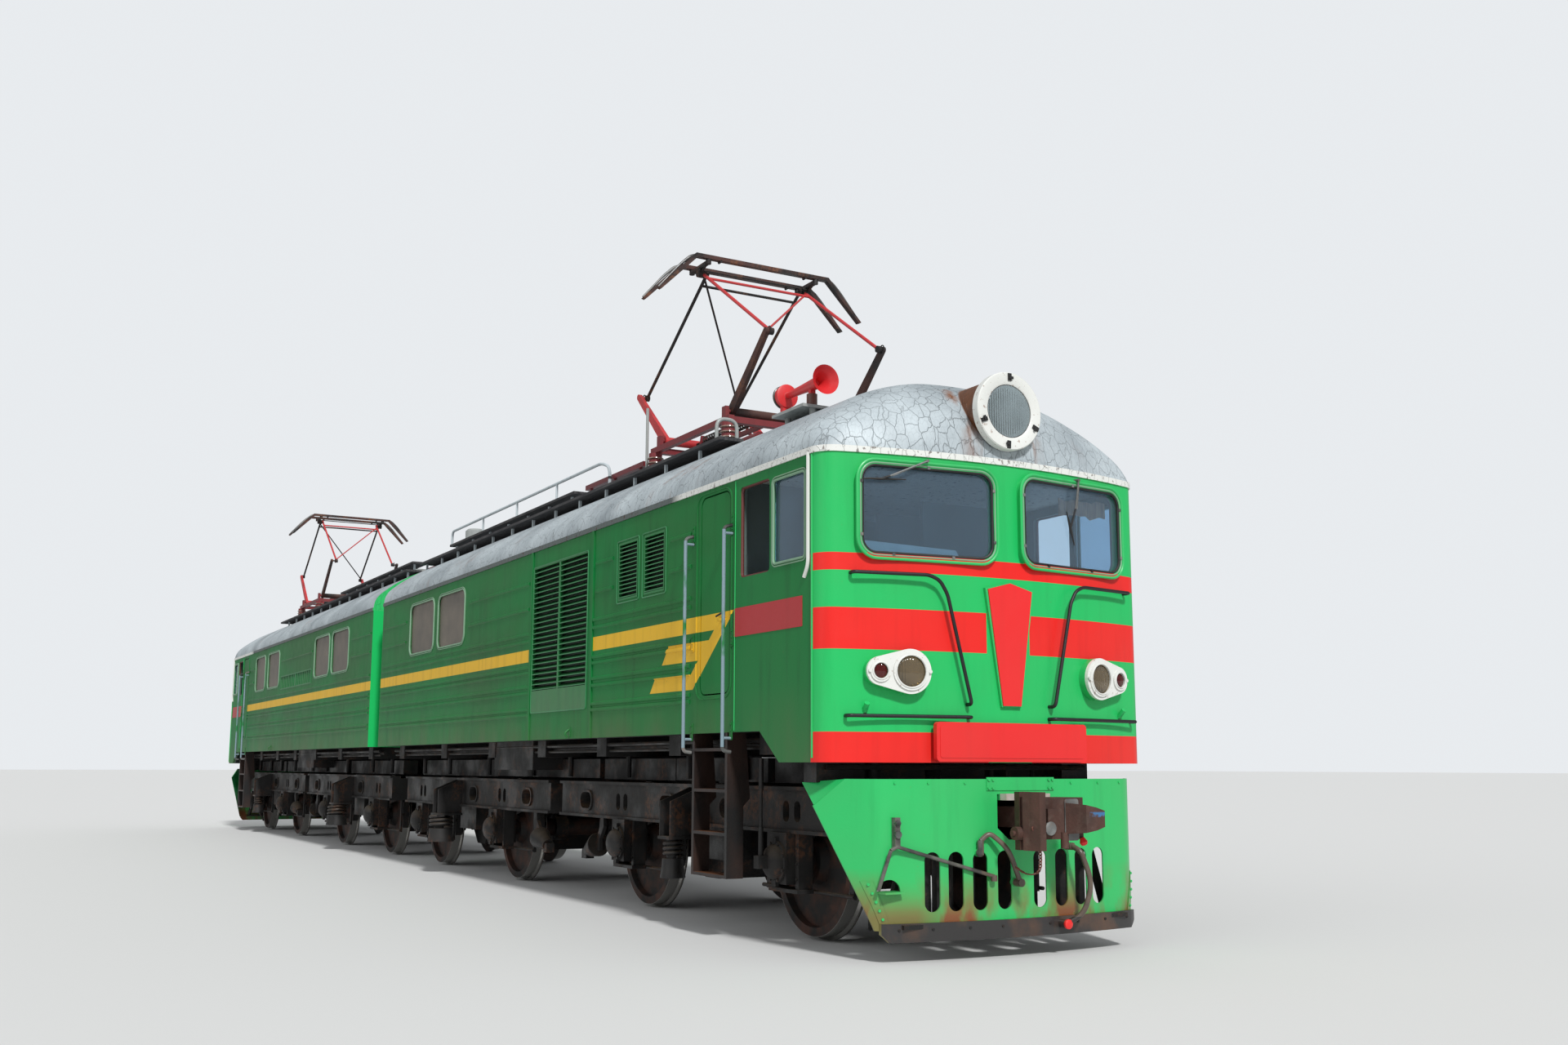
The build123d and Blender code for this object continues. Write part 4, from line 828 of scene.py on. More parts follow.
def side_frame(form, middle, front, rear, side, face):
    """A web with rimmed round openings and narrow slots, between two lips"""
    back, ahead = middle + rear, middle + front
    holes = [(middle + x, HOLE_Z) for x in HOLES if rear + 150 < x < front - 150]
    slots = [(middle + x + way * 90, HOLE_Z) for x in SLOTS for way in (-1, 1)]
    round_cuts = [stadium(at, HOLE_W, HOLE_H, HOLE_H / 2 - 2) for at in holes]
    cuts = round_cuts + [stadium(at, 100, HOLE_H, 48) for at in slots]
    web = [(back, FRAME_LOW), (ahead, FRAME_LOW), (ahead, FRAME_HIGH), (back, FRAME_HIGH)]
    form.across(web, side * FRAME_IN, face, cuts)
    for at, cut in zip(holes, round_cuts):
        rim = stadium(at, HOLE_W + 44, HOLE_H + 44, HOLE_H / 2 + 20)
        form.across(rim, face, face + side * 20, [cut])
    for low in (FRAME_LOW, FRAME_HIGH - LIP_T):
        form.block((back, ahead), (face - side, side * FRAME_OUT), (low, low + LIP_T))


def axle_box(form, axle, side, face):
    """A box between the legs of its guide, with a bolted domed cover"""
    top = FRAME_LOW + 5
    form.block((axle - 150, axle + 150), (side * 940, side * BOX_FACE), (AXLE_Z - 170, top))
    for way in (-1, 1):
        form.block((axle + way * 164, axle + way * 212), (side * FRAME_IN, face), (420, top))
    form.block((axle - 232, axle + 232), (side * FRAME_IN, side * (FRAME_OUT - 10)), (390, 420))
    for z in (AXLE_Z - 165, AXLE_Z + 165):
        form.block((axle - 32, axle + 32), (side * BOX_FACE, side * (BOX_FACE + 30)), (z - 26, z + 26))
    form.turned((axle, side * BOX_FACE, AXLE_Z), (0, side, 0), BOX_COVER, 32)


def brakes(form, axle, side):
    """Shoes on both sides of a wheel, on their hangers, and the rod between these"""
    for way in (-1, 1):
        shoe = []
        for radius, turns in ((TREAD_R + 10, range(-17, 18, 2)), (TREAD_R + 72, range(17, -18, -2))):
            for angle in [math.radians(turn) for turn in turns]:
                shoe.append((axle + way * radius * math.cos(angle), AXLE_Z + radius * math.sin(angle)))
        form.across(shoe, side * 768, side * 852)
        hanger = axle + way * (TREAD_R + 57)
        form.block((hanger - 30, hanger + 30), (side * 872, side * 900), (370, 905))
        form.rod((hanger, side * 852, AXLE_Z), (hanger, side * 872, AXLE_Z), 20)
        form.rod((hanger, side * 872, 875), (hanger, side * (FRAME_IN + 10), 875), 20)
    form.rod((axle - 717, side * 914, 395), (axle + 717, side * 914, 395), 16)


def body_spring(form, middle, side, face, core_r, cup_r):
    """The seat of a body spring between its gussets, with the core and the cup"""
    outer = SPRING_Y + 85
    gusset = [(face, 1190), (side * FRAME_OUT, 1190), (side * outer, 1070)]
    gusset += [(side * outer, SEAT_Z), (face, SEAT_Z)]
    for x in (middle - 105, middle + 105):
        form.along(gusset, x - 7, x + 7)
    seat = max(119, cup_r)
    form.block((middle - seat, middle + seat), (face, side * (outer + 12)), (SEAT_Z, SEAT_Z + 26))
    form.post(middle, side * SPRING_Y, CUP_HIGH - 5, SEAT_Z + 5, core_r, 20)
    cup = ((0, cup_r + 18), (12, cup_r + 18), (60, cup_r + 8), (CUP_HIGH - CUP_LOW, cup_r))
    form.turned((middle, side * SPRING_Y, CUP_LOW), (0, 0, 1), cup)


def brake_cylinder(form, top, side, way):
    """A cylinder on its arm below the frame"""
    arm = [(top - 45, 858), (top + 45, 858), (top + 55, 763), (top + way * 120 + 75, 635)]
    arm += [(top + way * 120 + 75, 515), (top + way * 120 - 75, 515), (top - 60, 743)]
    form.across(arm, side * 1042, side * 1078)
    drum = ((0, 118), (14, 122), (28, 118), (270, 66), (282, 62))
    form.turned((top + way * 110, side * 1060, 575), (way, 0, -0.28), drum)
    tip = top + way * 380
    form.block((tip - 40 * way, tip + 80 * way), (side * 1015, side * 1105), (420, 520))


def beams_and_motors(form, middle, front, rear):
    """The cross beams, and a motor with its gear case at each axle"""
    for start in (front - 150, rear):
        form.block((middle + start, middle + start + 150), (-FRAME_IN, FRAME_IN), (FRAME_LOW, 1180))
    form.block((middle - 330, middle + 330), (-FRAME_IN, FRAME_IN), (560, 1225))
    for end in (-1, 1):
        motor, axle = middle + end * MOTOR_X, middle + end * AXLE_X
        form.across(circle(MOTOR_R, 8, (motor, MOTOR_Z), 0.5), -520, 520)
        form.block((middle + end * 330, middle + end * 520), (-150, 150), (600, 800))
        for side in (-1, 1):
            form.block((motor, axle), (side * 260, side * 420), (560, 700))
            form.rod((axle, side * 260, AXLE_Z), (axle, side * 420, AXLE_Z), 155, 24)


def link_half(form, edge, pin_x, male):
    """Half of the joint between bogies, from a beam out to the pin"""
    low, high = LINK_Z - LINK_T / 2, LINK_Z + LINK_T / 2
    fork = ((low - 0.3 - LINK_T, low - 0.3), (high + 0.3, high + 0.3 + LINK_T))
    for bottom, top in ((low, high),) if male else fork:
        form.block((edge, pin_x), (-LINK_R, LINK_R), (bottom, top))
        form.post(pin_x, 0, bottom, top, LINK_R, 24)
    if male:
        form.post(pin_x, 0, low - 51, high + 51, 45)


def nose_gear(form):
    """A box with an upright pipe on the right leading axle box, and the draft gear's housing"""
    cover = BOX_FACE + 110
    form.block((11560, 11640), (8 - cover, -cover - 78), (580, 680))
    for low, high, radius in ((676, 905, 21), (903, 1190, 14), (1188, 1440, 20)):
        form.post(11600, -cover - 36, low, high, radius)
    for low, high in ((850, 934.7), (1085.3, 1130)):
        form.block((DRAFT_X - 140, 13000), (-200, 200), (low, high))
    for side in (-1, 1):
        form.block((DRAFT_X, 13000), (side * 115, side * 200), (850, 1130))


for body, middle, front, rear, core_r, cup_r, arm_at, way_out in BOGIES:
    form = Form()
    for side in (-1, 1):
        face = side * (FRAME_OUT - LIP_OUT)
        side_frame(form, middle, front, rear, side, face)
        for axle in (middle - AXLE_X, middle + AXLE_X):
            axle_box(form, axle, side, face)
            brakes(form, axle, side)
        body_spring(form, middle, side, face, core_r, cup_r)
        brake_cylinder(form, middle + arm_at, side, way_out)
    beams_and_motors(form, middle, front, rear)
    if body == "bogie_1":
        link_half(form, middle + rear, LINK_X, True)
        nose_gear(form)
    else:
        link_half(form, middle + front, LINK_X, False)
    stand_for(form, f"frame_{body}", bogie_black, (body, PARTNER[body]), body)

# The joint between the sections: a tongue with its pin on one bogie, a fork on the other
for body, kind, tag in (("bogie_2", "tongue", "a"), ("bogie_3", "fork", "b")):
    half = Form()
    link_half(half, 430, 0, kind == "tongue")
    half.make(f"middle_link_{kind}", bogie_black, body, only=tag)

# Pilot: a bowed plate with bent flanks, ears, slots, board, steps, rod and hoses
PILOT_X, PILOT_T, BEND_Y, FLANK = 13200, 12, 1180, math.tan(math.radians(54))
BEND_START, BEND_STOP, BEND_LINES = BEND_Y - 92, BEND_Y + 55, (1105, 1148, 1165, 1199, 1216)
BOW_R = NOSE_R * 1000
FOOT_Z, FOOT_Y, WIDEST_Z, WIDEST_Y, STRIP_TOP = 229, 1199, 1095, 1479, 571


def on_bow(y, bow):
    return PILOT_X - BOW_R + math.sqrt(bow**2 - y**2)


def pilot_x(y, out):
    """Where the pilot's face stands at that y, moved out by so much: bow, round bend, straight flank"""
    y, bow = abs(y), BOW_R + out
    corner_x = on_bow(BEND_Y, bow)
    if y <= BEND_START:
        return on_bow(y, bow)
    if y >= BEND_STOP:
        return corner_x - (y - BEND_Y) * FLANK
    start_x, stop_x = on_bow(BEND_START, bow), corner_x - (BEND_STOP - BEND_Y) * FLANK
    a, b, c = BEND_START - 2 * BEND_Y + BEND_STOP, 2 * (BEND_Y - BEND_START), BEND_START - y
    share = (-b + math.sqrt(b * b - 4 * a * c)) / (2 * a)
    return start_x * (1 - share) ** 2 + corner_x * 2 * share * (1 - share) + stop_x * share**2


def bowed_sheet(form, outline, inner, outer, holes=()):
    """A sheet along the pilot's face, its outlines seen from the front"""
    loops = [[Vector((y, z, 0)) for y, z in loop] for loop in (outline, *holes)]
    sheet = bmesh.new()
    corners = [sheet.verts.new(corner) for loop in loops for corner in loop]
    for triangle in tessellate_polygon(loops):
        sheet.faces.new([corners[k] for k in triangle])
    for y in (*range(-1440, 1441, 80), *[-y for y in BEND_LINES[::-1]], *BEND_LINES):
        everything = sheet.verts[:] + sheet.edges[:] + sheet.faces[:]
        bmesh.ops.bisect_plane(sheet, geom=everything, plane_co=(y, 0, 0), plane_no=(1, 0, 0), dist=0.01)
    made = bmesh.ops.extrude_face_region(sheet, geom=sheet.faces[:])
    front = {item for item in made["geom"] if isinstance(item, bmesh.types.BMVert)}
    for corner in sheet.verts:
        y, z = corner.co.x, corner.co.y
        corner.co = (pilot_x(y, outer if corner in front else inner), y, z)
    bmesh.ops.recalc_face_normals(sheet, faces=sheet.faces[:])
    sheet.verts.index_update()
    faces = [[v.index for v in face.verts] for face in sheet.faces]
    form.patch(in_metres([v.co for v in sheet.verts]), faces)
    sheet.free()


def flank_edge(z):
    """Half the pilot's width at that height"""
    return FOOT_Y + (z - FOOT_Z) / (WIDEST_Z - FOOT_Z) * (WIDEST_Y - FOOT_Y)


pilot = Form()
half_face = [(1333, 1290), (WIDEST_Y, WIDEST_Z), (FOOT_Y, FOOT_Z)]
cuts = [[(-222, 1180), (-222, 933), (-122, 848), (122, 848), (222, 933), (222, 1180)]]
for y in (165, 379, 583, 774):
    cuts += [stadium((side * y, 560), 125, 421, 61.5, 8) for side in (-1, 1)]
cuts.append(circle(82, 24, (-1105, 502))[:13])
bowed_sheet(pilot, half_face + [(-y, z) for y, z in half_face[::-1]], -PILOT_T, 0, cuts)
half_board = [(1175, 280), (1175, 205), (1120, 150)]
bowed_sheet(pilot, half_board + [(-y, z) for y, z in half_board[::-1]], -1, 42)
bowed_sheet(pilot, [(-316, 1207), (316, 1207), (316, 1303), (-316, 1303)], -1, 8)
for side in (-1, 1):
    edge = flank_edge(STRIP_TOP)
    strip = [(edge - 40, STRIP_TOP), (edge - 100, STRIP_TOP), (FOOT_Y - 100, FOOT_Z), (FOOT_Y - 40, FOOT_Z)]
    bowed_sheet(pilot, [(side * y, z) for y, z in strip], -1, 8)
    top, low = Vector((pilot_x(1329, -6), side * 1329, 1286)), Vector((pilot_x(1473, -6), side * 1473, 1099))
    ear = (top, low, Vector((12400, side * 1421, 1258)))
    normal = (low - top).cross(ear[2] - top).normalized() * PILOT_T / 2
    pilot.skin([in_metres([p + normal * way for p in ear]) for way in (-1, 1)])
    pilot.block((12980, pilot_x(BEND_Y, 0)), (side * 1005, side * 1125), (873, 1198))
pilot.block((13140, 13285), (-205, 205), (1136, 1184))
step_x = pilot_x(-1105, 0)
pilot.block((step_x - 60, step_x + 75), (-1187, -1023), (488, 502))
pilot.block((13060, 13145), (-1092, -1048), (800, 1020))
JOINT, ELBOW = (13135, -1072, 815), (13135, -1125, 790)
for start, end in ((JOINT, (13225, -285, 590)), (JOINT, ELBOW), (ELBOW, (13105, -1212, 512))):
    pilot.rod(start, end, 14)
pilot.post(13225, -285, 598, 555, 24)
pilot.block((13184, 13232), (-300, -270), (560, 590))
pilot.rod((13170, -395, 760), (13215, -395, 760), 30)
pilot.post(13215, -395, 745, 850, 24)
pilot.bar(((13215, -395, 845), (13235, -330, 905), (13290, -200, 790), (13262, -75, 545)), 110, 19)
pilot.rod((13180, -75, 540), (13285, -75, 540), 30)
pilot.rod((13170, 420, 790), (13275, 420, 790), 28)
hose = ((13270, 420, 790), (13350, 430, 760), (13372, 520, 520), (13345, 450, 300), (13285, 330, 230))
pilot.bar(hose, 160, 21)
pilot.rod((13210, 330, 228), (13300, 330, 228), 32)
stand_for(pilot, "pilot_plate", FINISHES["pilot"], ("pilot_a", "pilot_b"), "bogie_1")

# Coupler: shank and cast head with its claw, its open jaw and its guard
HEAD_BACK, HEAD_FACE, COUPLER_TIP = 13335, 13500, 13758
GUARD = (COUPLER_Z - 225, COUPLER_Z + 190)
HEAD_PLAN = (
    (HEAD_BACK, -110), (HEAD_BACK + 40, -195), (HEAD_FACE + 45, -200), (HEAD_FACE + 105, -170),
    (HEAD_FACE + 85, -90), (HEAD_FACE + 15, -45), (HEAD_FACE, 50), (HEAD_FACE + 50, 110),
    (HEAD_FACE + 50, 290), (HEAD_FACE - 40, 225), (HEAD_BACK + 40, 190), (HEAD_BACK, 110),
)
CLAW_PLAN = (
    (HEAD_FACE, 60), (HEAD_FACE + 55, 115), (COUPLER_TIP - 40, 175), (COUPLER_TIP, 240),
    (COUPLER_TIP - 12, 325), (HEAD_FACE + 120, 335), (HEAD_FACE - 40, 225),
)
GUARD_PLANS = (
    ((HEAD_FACE - 15, -218), (HEAD_FACE + 122, -172), (HEAD_FACE + 106, -104), (HEAD_FACE - 15, -140)),
    ((HEAD_BACK + 30, -196), (HEAD_FACE - 55, -214), (HEAD_FACE - 55, -110), (HEAD_BACK + 30, -110)),
)
head = Form()
head.block((DRAFT_X - 60, HEAD_BACK + 60), (-SHANK_R, SHANK_R), (COUPLER_Z - SHANK_R, COUPLER_Z + SHANK_R))
head.upright(HEAD_PLAN, COUPLER_Z - 150, COUPLER_Z + 150)
first = len(head.points)
head.upright(CLAW_PLAN, COUPLER_Z - 112, COUPLER_Z + 112)
# The claw grows thinner towards its tip
for point in head.points[first:]:
    point.z += (COUPLER_Z / 1000 - point.z) * 0.5 * min(max((point.y - 0.13) / 0.2, 0), 1)
for plan in GUARD_PLANS:
    head.upright(plan, *GUARD)
head.block((HEAD_FACE - 10, HEAD_FACE + 55), (-42, 48), (COUPLER_Z - 80, COUPLER_Z + 70))
head.rod((HEAD_FACE - 60, -190, 905), (HEAD_FACE - 60, -262, 905), 48, 20)
head.rod((HEAD_FACE - 60, -262, 905), (HEAD_FACE - 60, -285, 905), 20)
head.post(HEAD_FACE + 40, 120, GUARD[0] + 10, COUPLER_Z - 100, 30)
stand_for(head, "coupler_head", FINISHES["coupler"], ("coupler_a", "coupler_b"), "coupler_a")

# Air intakes: trays with slats; side, back, front, bottom, top, columns, blank foot, slats, upright
INTAKES = (
    (-1, 6770, 8350, 1938, 3518, 2, 215, 24, False),
    (-1, 9120, 9570, 2928, 3478, 1, 0, 13, False),
    (-1, 9710, 10160, 2928, 3478, 1, 0, 13, False),
    (1, 4530, 7270, 2800, 3060, 2, 0, 12, True),
)
BAR_W, POST_W, POCKET_Y = 20, 44, 1492
trays = Form()
for side, back, front, low, high, columns, blank, slats, upright in INTAKES:
    wall, pocket = (side * 1480, side * 1545), (side * POCKET_Y, side * HALF_W * 1000)
    wide = (front - back - 2 * BAR_W - (columns - 1) * POST_W) / columns
    foot, head_z = low + BAR_W + blank, high - BAR_W
    trays.block((back, front), (side * 1480, side * POCKET_Y), (low, high))
    for bottom, top in ((low, foot), (head_z, high)):
        trays.block((back, front), wall, (bottom, top))
    for start in (back, front - BAR_W):
        trays.block((start, start + BAR_W), wall, (foot, head_z))
    for column in range(columns):
        first = back + BAR_W + column * (wide + POST_W)
        if column:
            trays.block((first - POST_W, first), wall, (foot, head_z))
        pitch = (wide if upright else head_z - foot) / slats
        for number in range(slats):
            at = (first if upright else foot) + (number + 0.5) * pitch
            if upright:
                trays.block((at - pitch / 5, at + pitch / 5), pocket, (foot, head_z))
                continue
            inner, outer, drop = side * POCKET_Y, side * 1542, pitch * 0.36
            slat = [(inner, at + drop), (outer, at - drop), (outer, at - drop + 7), (inner, at + drop + 7)]
            trays.along(slat, first, first + wide)
stand_for(trays, "intake_trays", FINISHES["louvres"], ("louvres_a", "louvres_b"))

# Lamps: the headlamp's ring, and the pear-shaped housings with their rims and round openings
LAMP_RING = ((0, 212), (0, 310), (62, 310), (70, 302), (70, 224), (62, 212), (0, 212))
MARKER_Z = 2.068
lamp_forms = Form()
lamp_forms.turned((LAMP_X * 1000, 0, LAMP_Z * 1000), (1, 0, 0), LAMP_RING, 56)
for side in (-1, 1):
    face = nose_plane(side * 1.0, MARKER_Z)
    # Offset, housing's radius and lens radius of the marker lamp and the tail lamp
    lamps = ((-110 * side, 165, 116), (130 * side, 105, 58))
    cloud = [point for u, housing_r, _ in lamps for point in circle(housing_r, 48, (u, 0))]
    pear = [cloud[k] for k in convex_hull_2d([Vector(p) for p in cloud])]
    lenses = [circle(lens_r, 32, (u, 0)) for u, _, lens_r in lamps]
    lamp_forms.plate(pear, (), deep(face, -0.03), 70)
    lamp_forms.plate(pear, lenses, deep(face, 0.04), 40)
    for (u, _, lens_r), lens in zip(lamps, lenses):
        lamp_forms.plate(circle(lens_r + 24, 32, (u, 0)), [lens], deep(face, 0.08), 12)
stand_for(lamp_forms, "lamp_housings", FINISHES["lamps"], ("lamps_a", "lamps_b"))

# Roof: tighter shoulders along the sides and a dome drawn in to the bowed front
RISE, SHOULDER_R, DOME_X, ROOF_FOOT, BODY_HALF = 755, 280, 12200, 3743, 1540
DOME_LENGTH, BODY_END = 887, 300
CROWN_R = ((BODY_HALF - SHOULDER_R) ** 2 + RISE**2 - SHOULDER_R**2) / (2 * (RISE - SHOULDER_R))
LEAN = math.atan2(CROWN_R - RISE, BODY_HALF - SHOULDER_R)
# How tight the dome's corners are at this share of its height
DOME_LEVELS = ((0, 182), (0.28, 330), (0.58, 430), (0.83, 290), (0.96, 170), (0.995, 70))
TOP_SHARE = DOME_LEVELS[-1][0]


def arch_half(height):
    """Half the roof's width at that height over its foot"""
    if height <= SHOULDER_R * math.sin(LEAN):
        return BODY_HALF - SHOULDER_R + math.sqrt(SHOULDER_R**2 - height**2)
    return math.sqrt(max(CROWN_R**2 - (height - RISE + CROWN_R) ** 2, 0))


def plan_ring(tip, half, bow, corner):
    """A level's outline from its left over the tip to its right, without its back"""
    corner = min(corner, half * 0.9, (tip - DOME_X) * 0.9)
    foot_x = tip - bow + math.sqrt((bow - corner) ** 2 - (half - corner) ** 2)
    turn = math.asin((half - corner) / (bow - corner))
    ring = [(DOME_X + (foot_x - DOME_X) * k / 4, half) for k in range(4)]
    for k in range(11):
        angle = math.pi / 2 + (turn - math.pi / 2) * k / 10
        ring.append((foot_x + corner * math.cos(angle), half - corner + corner * math.sin(angle)))
    for k in range(1, 11):
        angle = turn * (1 - k / 10)
        ring.append((tip - bow + bow * math.cos(angle), bow * math.sin(angle)))
    return ring + [(x, -y) for x, y in ring[-2::-1]]


cover = Form()
rings = []
for step in range(25):
    share = TOP_SHARE * math.sin(step / 24 * math.pi / 2)
    for (low, low_r), (high, high_r) in zip(DOME_LEVELS, DOME_LEVELS[1:]):
        if low <= share <= high:
            corner = low_r + (high_r - low_r) * (share - low) / (high - low)
    tip = DOME_X + DOME_LENGTH * math.sqrt(1 - share**2)
    ring = plan_ring(tip, arch_half(share * RISE), BOW_R * (1 - share) + 900 * share, corner)
    rings.append([(x, y, ROOF_FOOT + share * RISE) for x, y in ring])
count, last = len(rings[0]), len(rings) - 1
faces = []
for here in [row * count + k for row in range(last) for k in range(count - 1)]:
    faces.append((here + 1, here, here + count, here + count + 1))
faces.append([last * count + k for k in range(count)][::-1])
cover.patch(in_metres([p for ring in rings for p in ring]), faces)
heights = [TOP_SHARE * RISE * math.sin(k / 40 * math.pi / 2) for k in range(41)]
heights += [RISE * (TOP_SHARE + (1 - TOP_SHARE) * k / 4) for k in range(1, 4)]
arch = [(arch_half(height), height) for height in heights] + [(0, RISE)]
cover.along([(y, ROOF_FOOT + z) for y, z in arch + [(-y, z) for y, z in arch[-2::-1]]], BODY_END, DOME_X)
gutter = [(BODY_END, 1552), *plan_ring(13099, 1552, BOW_R + 12, 192), (BODY_END, -1552)]
cover.upright(gutter, EAVE_Z * 1000, ROOF_FOOT)
cover.rod((12300, 0, LAMP_Z * 1000), (LAMP_X * 1000, 0, LAMP_Z * 1000), 276, 48)
stand_for(cover, "roof_cover", FINISHES["roof"], ("roof_a", "roof_b"), sharp=30)

# Roof walkways on posts, and the railing
RAIL_Y, POST_PITCH = -765, 765
walks = Form()
for back, front, inner, outer, low in ((400, 10250, 800, 1050, 4345), (1000, 5950, 540, 790, 4560)):
    for side in (-1, 1):
        walks.block((back, front), (side * inner, side * outer), (low, low + 30))
        for x in range(back + 130, front - 129, POST_PITCH):
            walks.block((x - 14, x + 14), (side * (outer - 84), side * (outer - 56)), (4200, low + 5))
railing = ((1030, 4590), (1030, 4785), (6730, 4785), (6980, 4700), (6980, 4300))
walks.bar([(x, RAIL_Y, z) for x, z in railing], 110, 18)
for x in (2470, 3870, 5320):
    walks.post(x, RAIL_Y, 4570, 4785, 14)
stand_for(walks, "roof_boards", FINISHES["walkways"], ("walkways_a", "walkways_b"))

# Roof gear: horn on its platform, duct and post beside the pantograph, hoop, bus bar, boxes and the tank
HORN_Y, HORN_Z, INSULATOR_XS = -800, 4600, (1400, 3400, 5400)
DRUM = ((0, 60), (0, 105), (14, 105), (18, 96), (60, 96), (66, 105), (80, 105), (86, 90), (90, 20))
HORN = (
    (0, 30), (240, 38), (490, 52), (570, 72), (625, 104), (648, 126),
    (650, 128), (646, 126), (610, 84), (560, 44), (490, 26), (490, 2),
)
gear = Form()
gear.block((11020, 11560), (-930, -670), (4390, 4416))
for x in (11080, 11500):
    gear.post(x, HORN_Y, 4200, 4395, 28)
gear.post(11490, HORN_Y, 4410, 4520, 46, 20)
gear.block((11470, 11510), (HORN_Y - 24, HORN_Y + 24), (4515, 4600))
gear.block((11010, 11060), (HORN_Y - 40, HORN_Y + 40), (4410, 4600))
gear.turned((10988, HORN_Y, HORN_Z), (1, 0, 0), DRUM, 32)
gear.turned((11070, HORN_Y, HORN_Z), (1, 0, 0), HORN, 36)
gear.block((6180, 7830), (-735, -675), (4560, 4615))
for x in (6300, 7000, 7700):
    gear.block((x - 15, x + 15), (-720, -690), (4200, 4565))
for high, radius in ((5150, 16), (4400, 21)):
    gear.post(8005, -772, 4200, high, radius)
hoop = ((-1030, 4375), (-1030, 4565), (-820, 4565), (-820, 4375))
gear.bar([(10150, y, z) for y, z in hoop], 103, 18)
for x in INSULATOR_XS:
    gear.post(x, 0, 4400, 4705, 60)
gear.block((1000, 6000), (-30, 30), (4700, 4740))
gear.block((4200, 4900), (-500, -150), (4300, 4640))
gear.block((2200, 2700), (150, 520), (4300, 4640))
gear.turned((760, -330, 4300), (0, 0, 1), ((0, 150), (560, 150), (590, 120), (600, 40)), 32)
stand_for(gear, "roof_fittings", FINISHES["roof_gear"], ("roof_gear_a", "roof_gear_b"))

# Front rails and the jumper stubs; the rails' points are y, z and the distance from the bowed front
UPPER_RAIL = (
    (1320, 2788, -5), (1320, 2788, 70), (730, 2788, 70), (645, 2750, 70),
    (585, 2650, 70), (392, 1838, 70), (392, 1838, -5),
)
LOWER_RAIL = ((1360, 1743, -5), (1360, 1743, 70), (386, 1743, 70), (386, 1743, -5))
rails = Form()
for side in (-1, 1):
    for line in (UPPER_RAIL, LOWER_RAIL):
        rails.bar([on_nose(side * y / 1000, z / 1000, out / 1000) * 1000 for y, z, out in line], 40, 14)
    rails.tube([on_nose(side * 1.215, 1.775, -0.005), on_nose(side * 1.215, 1.835, 0.05)], 0.020, 12)
rails.make("front_rails", FINISHES["ladders"])


# Windows: gaskets and frames
SCREEN_Y, SCREEN_Z = 0.700, 3.273
SCREEN_W, SCREEN_H, SCREEN_CORNER = 1.100, 0.660, 0.110
SCREENS = {side: nose_plane(side * SCREEN_Y, SCREEN_Z) for side in (-1, 1)}


def screen_ring(shape, grow, out, radius):
    """A bead round both windscreens, wider than the panes by so much on each side"""
    ring = rounded(SCREEN_W + 2 * grow, SCREEN_H + 2 * grow, SCREEN_CORNER + grow, 8)
    for plane in SCREENS.values():
        shape.bead(ring, plane, out, radius, 8)


gasket, trim = Shape(), Shape()
screen_ring(gasket, 0.0, 0.004, 0.013)
screen_ring(trim, 0.018, 0.012, 0.007)
gasket.make("screen_gaskets", rubber)
trim.make("screen_trims", pale_trim)

# Side windows: side, back, front, bottom, top, corner
WINDOWS = (
    (-1, 1.81, 2.96, 2.878, 3.568, 0.12),
    (-1, 3.14, 4.29, 2.878, 3.568, 0.12),
    (1, 1.80, 3.00, 2.878, 3.568, 0.12),
    (1, 3.18, 4.33, 2.878, 3.568, 0.12),
    (1, 7.47, 8.64, 2.878, 3.568, 0.12),
    (1, 8.93, 9.99, 2.878, 3.568, 0.12),
    (-1, 12.15, 12.65, 2.918, 3.588, 0.04),
    (1, 12.15, 12.65, 2.918, 3.588, 0.04),
)
side_frames = Shape()
for side, back, front, low, high, corner in WINDOWS:
    plane = wall_plane(side, (back + front) / 2, (low + high) / 2)
    for grow, out, radius in ((-0.006, 0.002, 0.011), (0.016, 0.004, 0.006)):
        ring = rounded(front - back + 2 * grow, high - low + 2 * grow, max(corner + grow, 0.02), 5)
        side_frames.bead(ring, plane, out, radius)
side_frames.make("side_window_frames", pale_trim)

open_frames = Shape()
for side in (-1, 1):
    open_frames.bead(rounded(0.49, 0.74, 0.04, 4), wall_plane(side, 11.845, 3.248), -0.02, 0.016)
open_frames.make("open_window_frames", plain_paint("frame_brown", rgb(96, 44, 40), rust=0.3))

# White gutter strip running down behind the cab's corner
drips = Shape()
for side in (-1, 1):
    out = side * (HALF_W + 0.008)
    drips.tube(bent([(12.700, out, EAVE_Z + 0.01), (12.700, out, 2.86), (12.640, out, 2.77)], 0.08), 0.016)
drips.make("drip_strips", white_paint)

# Blank plates and the blank shield of the front
PLATE_Z, SHIELD_Z = 1.560, 2.3
front_plate = Shape()
front_plate.prism(rounded(1.42, 0.290, 0.03, 4), nose_plane(0, PLATE_Z), 0.042)
front_plate.prism(rounded(1.36, 0.235, 0.02, 4), nose_plane(0, PLATE_Z, 0.042), 0.004)
front_plate.make("front_plate", red_plate)
SHIELD = ((0.085, -0.466), (0.21, 0.415), (0.0, 0.470), (-0.21, 0.415), (-0.085, -0.466))
shield_rim, shield = Shape(), Shape()
shield_rim.prism([(y * 1.10, z * 1.02) for y, z in SHIELD], nose_plane(0, SHIELD_Z, -0.01), 0.034)
shield.prism(SHIELD, nose_plane(0, SHIELD_Z), 0.034)
shield_rim.make("shield_rim", sunlit_trim_green)
shield.make("shield_blank", red_plate)
side_plates = Shape()
